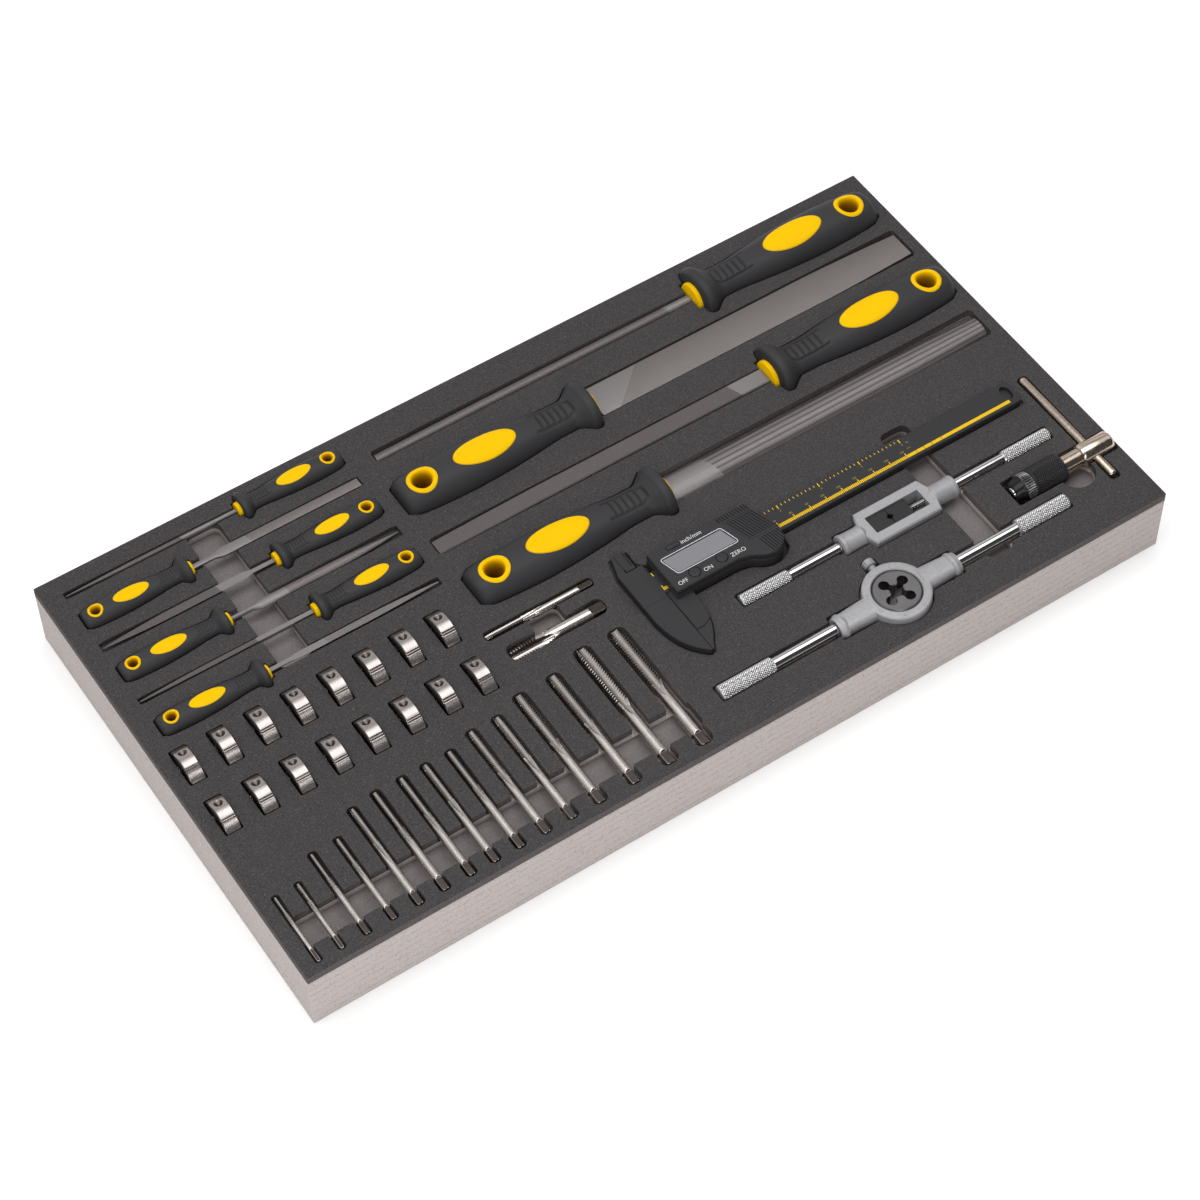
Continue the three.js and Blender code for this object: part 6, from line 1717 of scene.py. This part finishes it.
# Past the scale the row of ticks goes on as a stripe with narrow gaps at these places
STRIPE_ENDS = [156.9, 162.7, 167.4, 172.3, 178.5, 222.6]
ticks = []
for value in range(0, 151):
    x = SCALE_ZERO + value
    ticks.append(box_outline(x - 0.38, x + 0.38, TICK_FRONT, TICK_BACK) if value % 10 else np.array([
        (x - 0.38, TICK_FRONT), (x + 0.38, TICK_FRONT), (x + 0.2, LONG_TICK_BACK),
        (x - 0.2, LONG_TICK_BACK)]))
for left, right in zip(STRIPE_ENDS[:-1], STRIPE_ENDS[1:]):
    ticks.append(box_outline(left, right - 0.28, TICK_FRONT, TICK_BACK))
for tenth in range(0, 61):
    x = SCALE_ZERO + 2.54 * tenth
    front, half = (INCH_FRONT, 0.17) if tenth % 10 else (LONG_INCH_FRONT, 0.27)
    ticks.append(box_outline(x - half, x + half, front, INCH_BACK))
piece("caliper_scale_ticks", print_parts(ticks, BEAM_TOP), print_yellow, "caliper", slot="black_plastic")
numbers = [(str(value), SCALE_ZERO + value - (0.4 if value < 100 else 0.8), -39.6, 1.25)
           for value in range(10, 151, 10)]
numbers += [(str(value), SCALE_ZERO + 25.4 * value, -35.6, 1.25) for value in range(1, 7)]
numbers += [("mm", 160.4, -38.9, 1.1), ("in", 161.9, -35.4, 1.4)]
words("caliper_scale_numbers", numbers, BEAM_TOP, print_dim, "caliper")

# %% Slider with the moving jaws
slider = plate("caliper_slider_body", slider_outline(fine=7), SLIDER_BOTTOM, SLIDER_TOP, 0.3)
carved(slider, [cutter(box_outline(FIXED_LEFT - 3, BEAM_END + 3, BEAM_FRONT - 0.3, BEAM_BACK + 0.3),
                       BEAM_BOTTOM - 0.3, BEAM_TOP + 0.3)])
moving_left = JAW_PARTING + 0.15
jaw_outline = np.concatenate([[(moving_left, JAW_TIP)], jaw_curve(True),
                              [(MOVING_RIGHT, BEAM_FRONT - 0.3), (moving_left, BEAM_FRONT - 0.3)]])
inside_plate = box_outline(INSIDE_LEFT, SLIDER_LEFT + 6.2, BEAM_BACK + 0.01, SLIDER_BACK)
inside_reach = box_outline(INSIDE_LEFT, INSIDE_RIGHT, BEAM_BACK + 0.01, INSIDE_TIP)
inside_jaw = box_outline(INSIDE_LEFT, INSIDE_RIGHT, SLIDER_BACK + 0.3, INSIDE_TIP)
carved(slider, [
    plate_part(jaw_outline, BEAM_BOTTOM, BEAM_TOP, 0.25, CALIPER_PLACE),
    cutter(inside_plate, SLIDER_BOTTOM, SLIDER_BOTTOM + 2.4),
    cutter(inside_reach, SLIDER_BOTTOM, SLIDER_BOTTOM + 2.4),
    plate_part(inside_jaw, SLIDER_BOTTOM, BEAM_TOP, 0.2, CALIPER_PLACE)], "UNION")
step = np.array([(moving_left - 1, JAW_TIP - 1), (moving_left + 9, JAW_TIP - 1),
                 (moving_left + 9, JAW_TIP + 16.5), (moving_left + 4.2, JAW_TIP + 14.2),
                 (moving_left - 1, JAW_TIP + 14.6)])
inside_step = box_outline(INSIDE_LEFT - 1, INSIDE_RIGHT - 0.8, SLIDER_BACK + 2.4, INSIDE_TIP + 1)
carved(slider, [cutter(step, BEAM_TOP - 0.55, PAST_BEAM), cutter(inside_step, BEAM_TOP - 0.7, PAST_BEAM)])
dress(slider, black_plastic, "caliper_slider", ["caliper_slider_and_moving_jaw"])
rod = plate("caliper_steel_rod", box_outline(SLIDER_LEFT + 29.2, BEAM_END, BEAM_AXIS - 1.2, BEAM_AXIS + 1.2),
            BEAM_BOTTOM, BEAM_BOTTOM + 1.2, 0.15)
dress(rod, bright_steel, "caliper_slider", ["caliper_depth_rod"])

# %% Housing, window, buttons and cover
WINDOW = (12.8, 47.8, -42.6, -32.1, 3.0)
COVER_LEFT, COVER_BACK, COVER_FRONT = 51.4, -29.9, -45.9
LEAN_SHARE = SLIDER_SLANT / (SLIDER_BACK - BEAM_FRONT)


def soft_slant(left, right, front, back, lean, corner, steps=5):
    """A slanted box with rounded corners: the rounded box sheared by the share of depth from its back."""
    outline = rounded_box(left, right, front, back, corner, steps)
    return outline + np.column_stack([(back - outline[:, 1]) / (back - front) * lean, np.zeros(len(outline))])


def button_outline(x, growth=0.0):
    """A round button, flat on its far side like the recess it lies in."""
    return circle_outline(x, SLIDER_FRONT + 5.4, 3 + growth, 40)


UNIT_BUTTON = (18.6, 26.2, -28.7, -26.3)
ROUND_BUTTONS = {"off": 22.4, "on_zero": 38.7}
WELL = HOUSING_TOP - 2
cover_lean = LEAN_SHARE * (COVER_BACK - COVER_FRONT)
cover_right = SLIDER_RIGHT + LEAN_SHARE * 5.0
cell_middle = ((COVER_LEFT + cover_right + cover_lean) / 2, (COVER_BACK + COVER_FRONT) / 2)
housing = plate("caliper_housing_shell", slider_outline(fine=9), HOUSING_BOTTOM, HOUSING_TOP, 0.55)
cuts = [moved(prism(soft_slant(*WINDOW, 0.7), [(HOUSING_TOP - 1.2, 0.15), (HOUSING_TOP - 0.3, 0.15),
                                                 (HOUSING_TOP + 0.2, 0.6)]), CALIPER_PLACE),
        cutter(rounded_box(UNIT_BUTTON[0] - 0.25, UNIT_BUTTON[1] + 0.25, UNIT_BUTTON[2] - 0.25,
                           UNIT_BUTTON[3] + 0.25, 1.0, 5), WELL),
        cutter(slanted_outline(COVER_LEFT - 0.12, cover_right + 14, COVER_FRONT - 0.12, COVER_BACK + 0.12,
                               cover_lean), HOUSING_TOP - 1.6),
        cutter(circle_outline(*cell_middle, 6.55, 48), HOUSING_BOTTOM + 0.5)]
cuts += [cutter(button_outline(x, 0.3), WELL) for x in ROUND_BUTTONS.values()]
for i in range(11):
    x = 48.4 + 1.68 * i
    cuts.append(cutter(slanted_outline(x, x + 0.85, -28.9, SLIDER_BACK + 1, 1.3), HOUSING_TOP - 0.55))
for i in range(9):
    x = 60.6 + 1.5 * i
    cuts.append(cutter(slanted_outline(x, x + 0.7, -62, -47.2, 2.8), HOUSING_TOP - 0.5))
rest = slider_outline(fine=9)
rest = rest[(rest[:, 0] > 52) & (rest[:, 1] < SLIDER_FRONT + 3)]
along_rest = np.concatenate([[0], np.cumsum(np.linalg.norm(np.diff(rest, axis=0), axis=1))])
for reach in np.arange(1.0, along_rest[-1], 1.15):
    x, y = np.interp(reach, along_rest, rest[:, 0]), np.interp(reach, along_rest, rest[:, 1])
    cuts.append(cutter(circle_outline(x, y - 0.05, 0.38, 12), HOUSING_BOTTOM - 1))
carved(housing, cuts)
dress(housing, black_plastic, "caliper_slider", ["caliper_housing"])
glass = plate("caliper_display_glass", soft_slant(*WINDOW, 0.6), HOUSING_TOP - 0.9, HOUSING_TOP - 0.2, 0.1)
dress(glass, display_grey, "caliper_slider", ["caliper_display_window"])
outer = soft_slant(*WINDOW, 0.7)
frame_levels = [(0.55, HOUSING_TOP - 0.1), (0.55, HOUSING_TOP + PRINT_HEIGHT),
                (0.95, HOUSING_TOP + PRINT_HEIGHT), (0.95, HOUSING_TOP - 0.1)]
frame_rings = np.stack([ring_at(grown(outer, growth), TRAY_TOP + height) for growth, height in frame_levels])
piece("caliper_display_frame", shell(frame_rings, closed_rows=True), print_white, "caliper_slider",
      slot="display_grey")
words("caliper_labels", [("inch/mm", 33.0, -27.7, 2.6), ("OFF", 14.3, -48.6, 2.4), ("ON", 29.4, -48.5, 2.4),
                         ("ZERO", 47.5, -48.5, 2.5)], HOUSING_TOP, print_white, "caliper_slider")
KEY_BOTTOM = WELL + 0.75
KEY_TOP = KEY_BOTTOM + 1.6
unit = plate("caliper_unit_key", rounded_box(*UNIT_BUTTON, 0.8, 5), KEY_BOTTOM, KEY_TOP, 0.2)
dress(unit, black_plastic, "caliper_unit_button", ["caliper_unit_button"])
for name, x in ROUND_BUTTONS.items():
    key = mesh_object(f"caliper_{name}_key", moved(prism(button_outline(x), [
        (KEY_BOTTOM, -0.1), (KEY_BOTTOM + 0.1, 0), (KEY_BOTTOM + 1.2, 0), (KEY_BOTTOM + 1.5, -0.3),
        (KEY_TOP, -0.9)]), CALIPER_PLACE))
    dress(key, black_plastic, f"caliper_{name}_button", [f"caliper_{name}_button"])
cover = plate("caliper_ribbed_cover",
              slanted_outline(COVER_LEFT, cover_right, COVER_FRONT, COVER_BACK, cover_lean),
              HOUSING_TOP - 1.3, HOUSING_TOP, 0.12)
carved(cover, [cutter(slanted_outline(x, x + 0.8, COVER_FRONT + 1.0, COVER_BACK - 0.8, cover_lean * 0.88),
                      HOUSING_TOP - 0.5) for x in np.arange(COVER_LEFT + 1.2, cover_right - 1.2, 1.6)])
dress(cover, black_plastic, "caliper_battery_cover", ["caliper_battery_cover"])
cell = mesh_object("caliper_button_cell", moved(prism(circle_outline(*cell_middle, 6.25, 64), [
    (HOUSING_BOTTOM + 0.65, -0.4), (HOUSING_BOTTOM + 1.0, 0), (HOUSING_BOTTOM + 2.1, 0),
    (HOUSING_BOTTOM + 2.25, -0.15)]), CALIPER_PLACE))
dress(cell, bright_steel, "caliper_slider", ["caliper_cell"])
print("caliper: ticks", len(ticks), "numbers", len(numbers))

# %% [markdown]
# ## Count of pieces
# The last line prints how many pieces were made.

# %% Close
print("pieces made:", len(made_pieces))
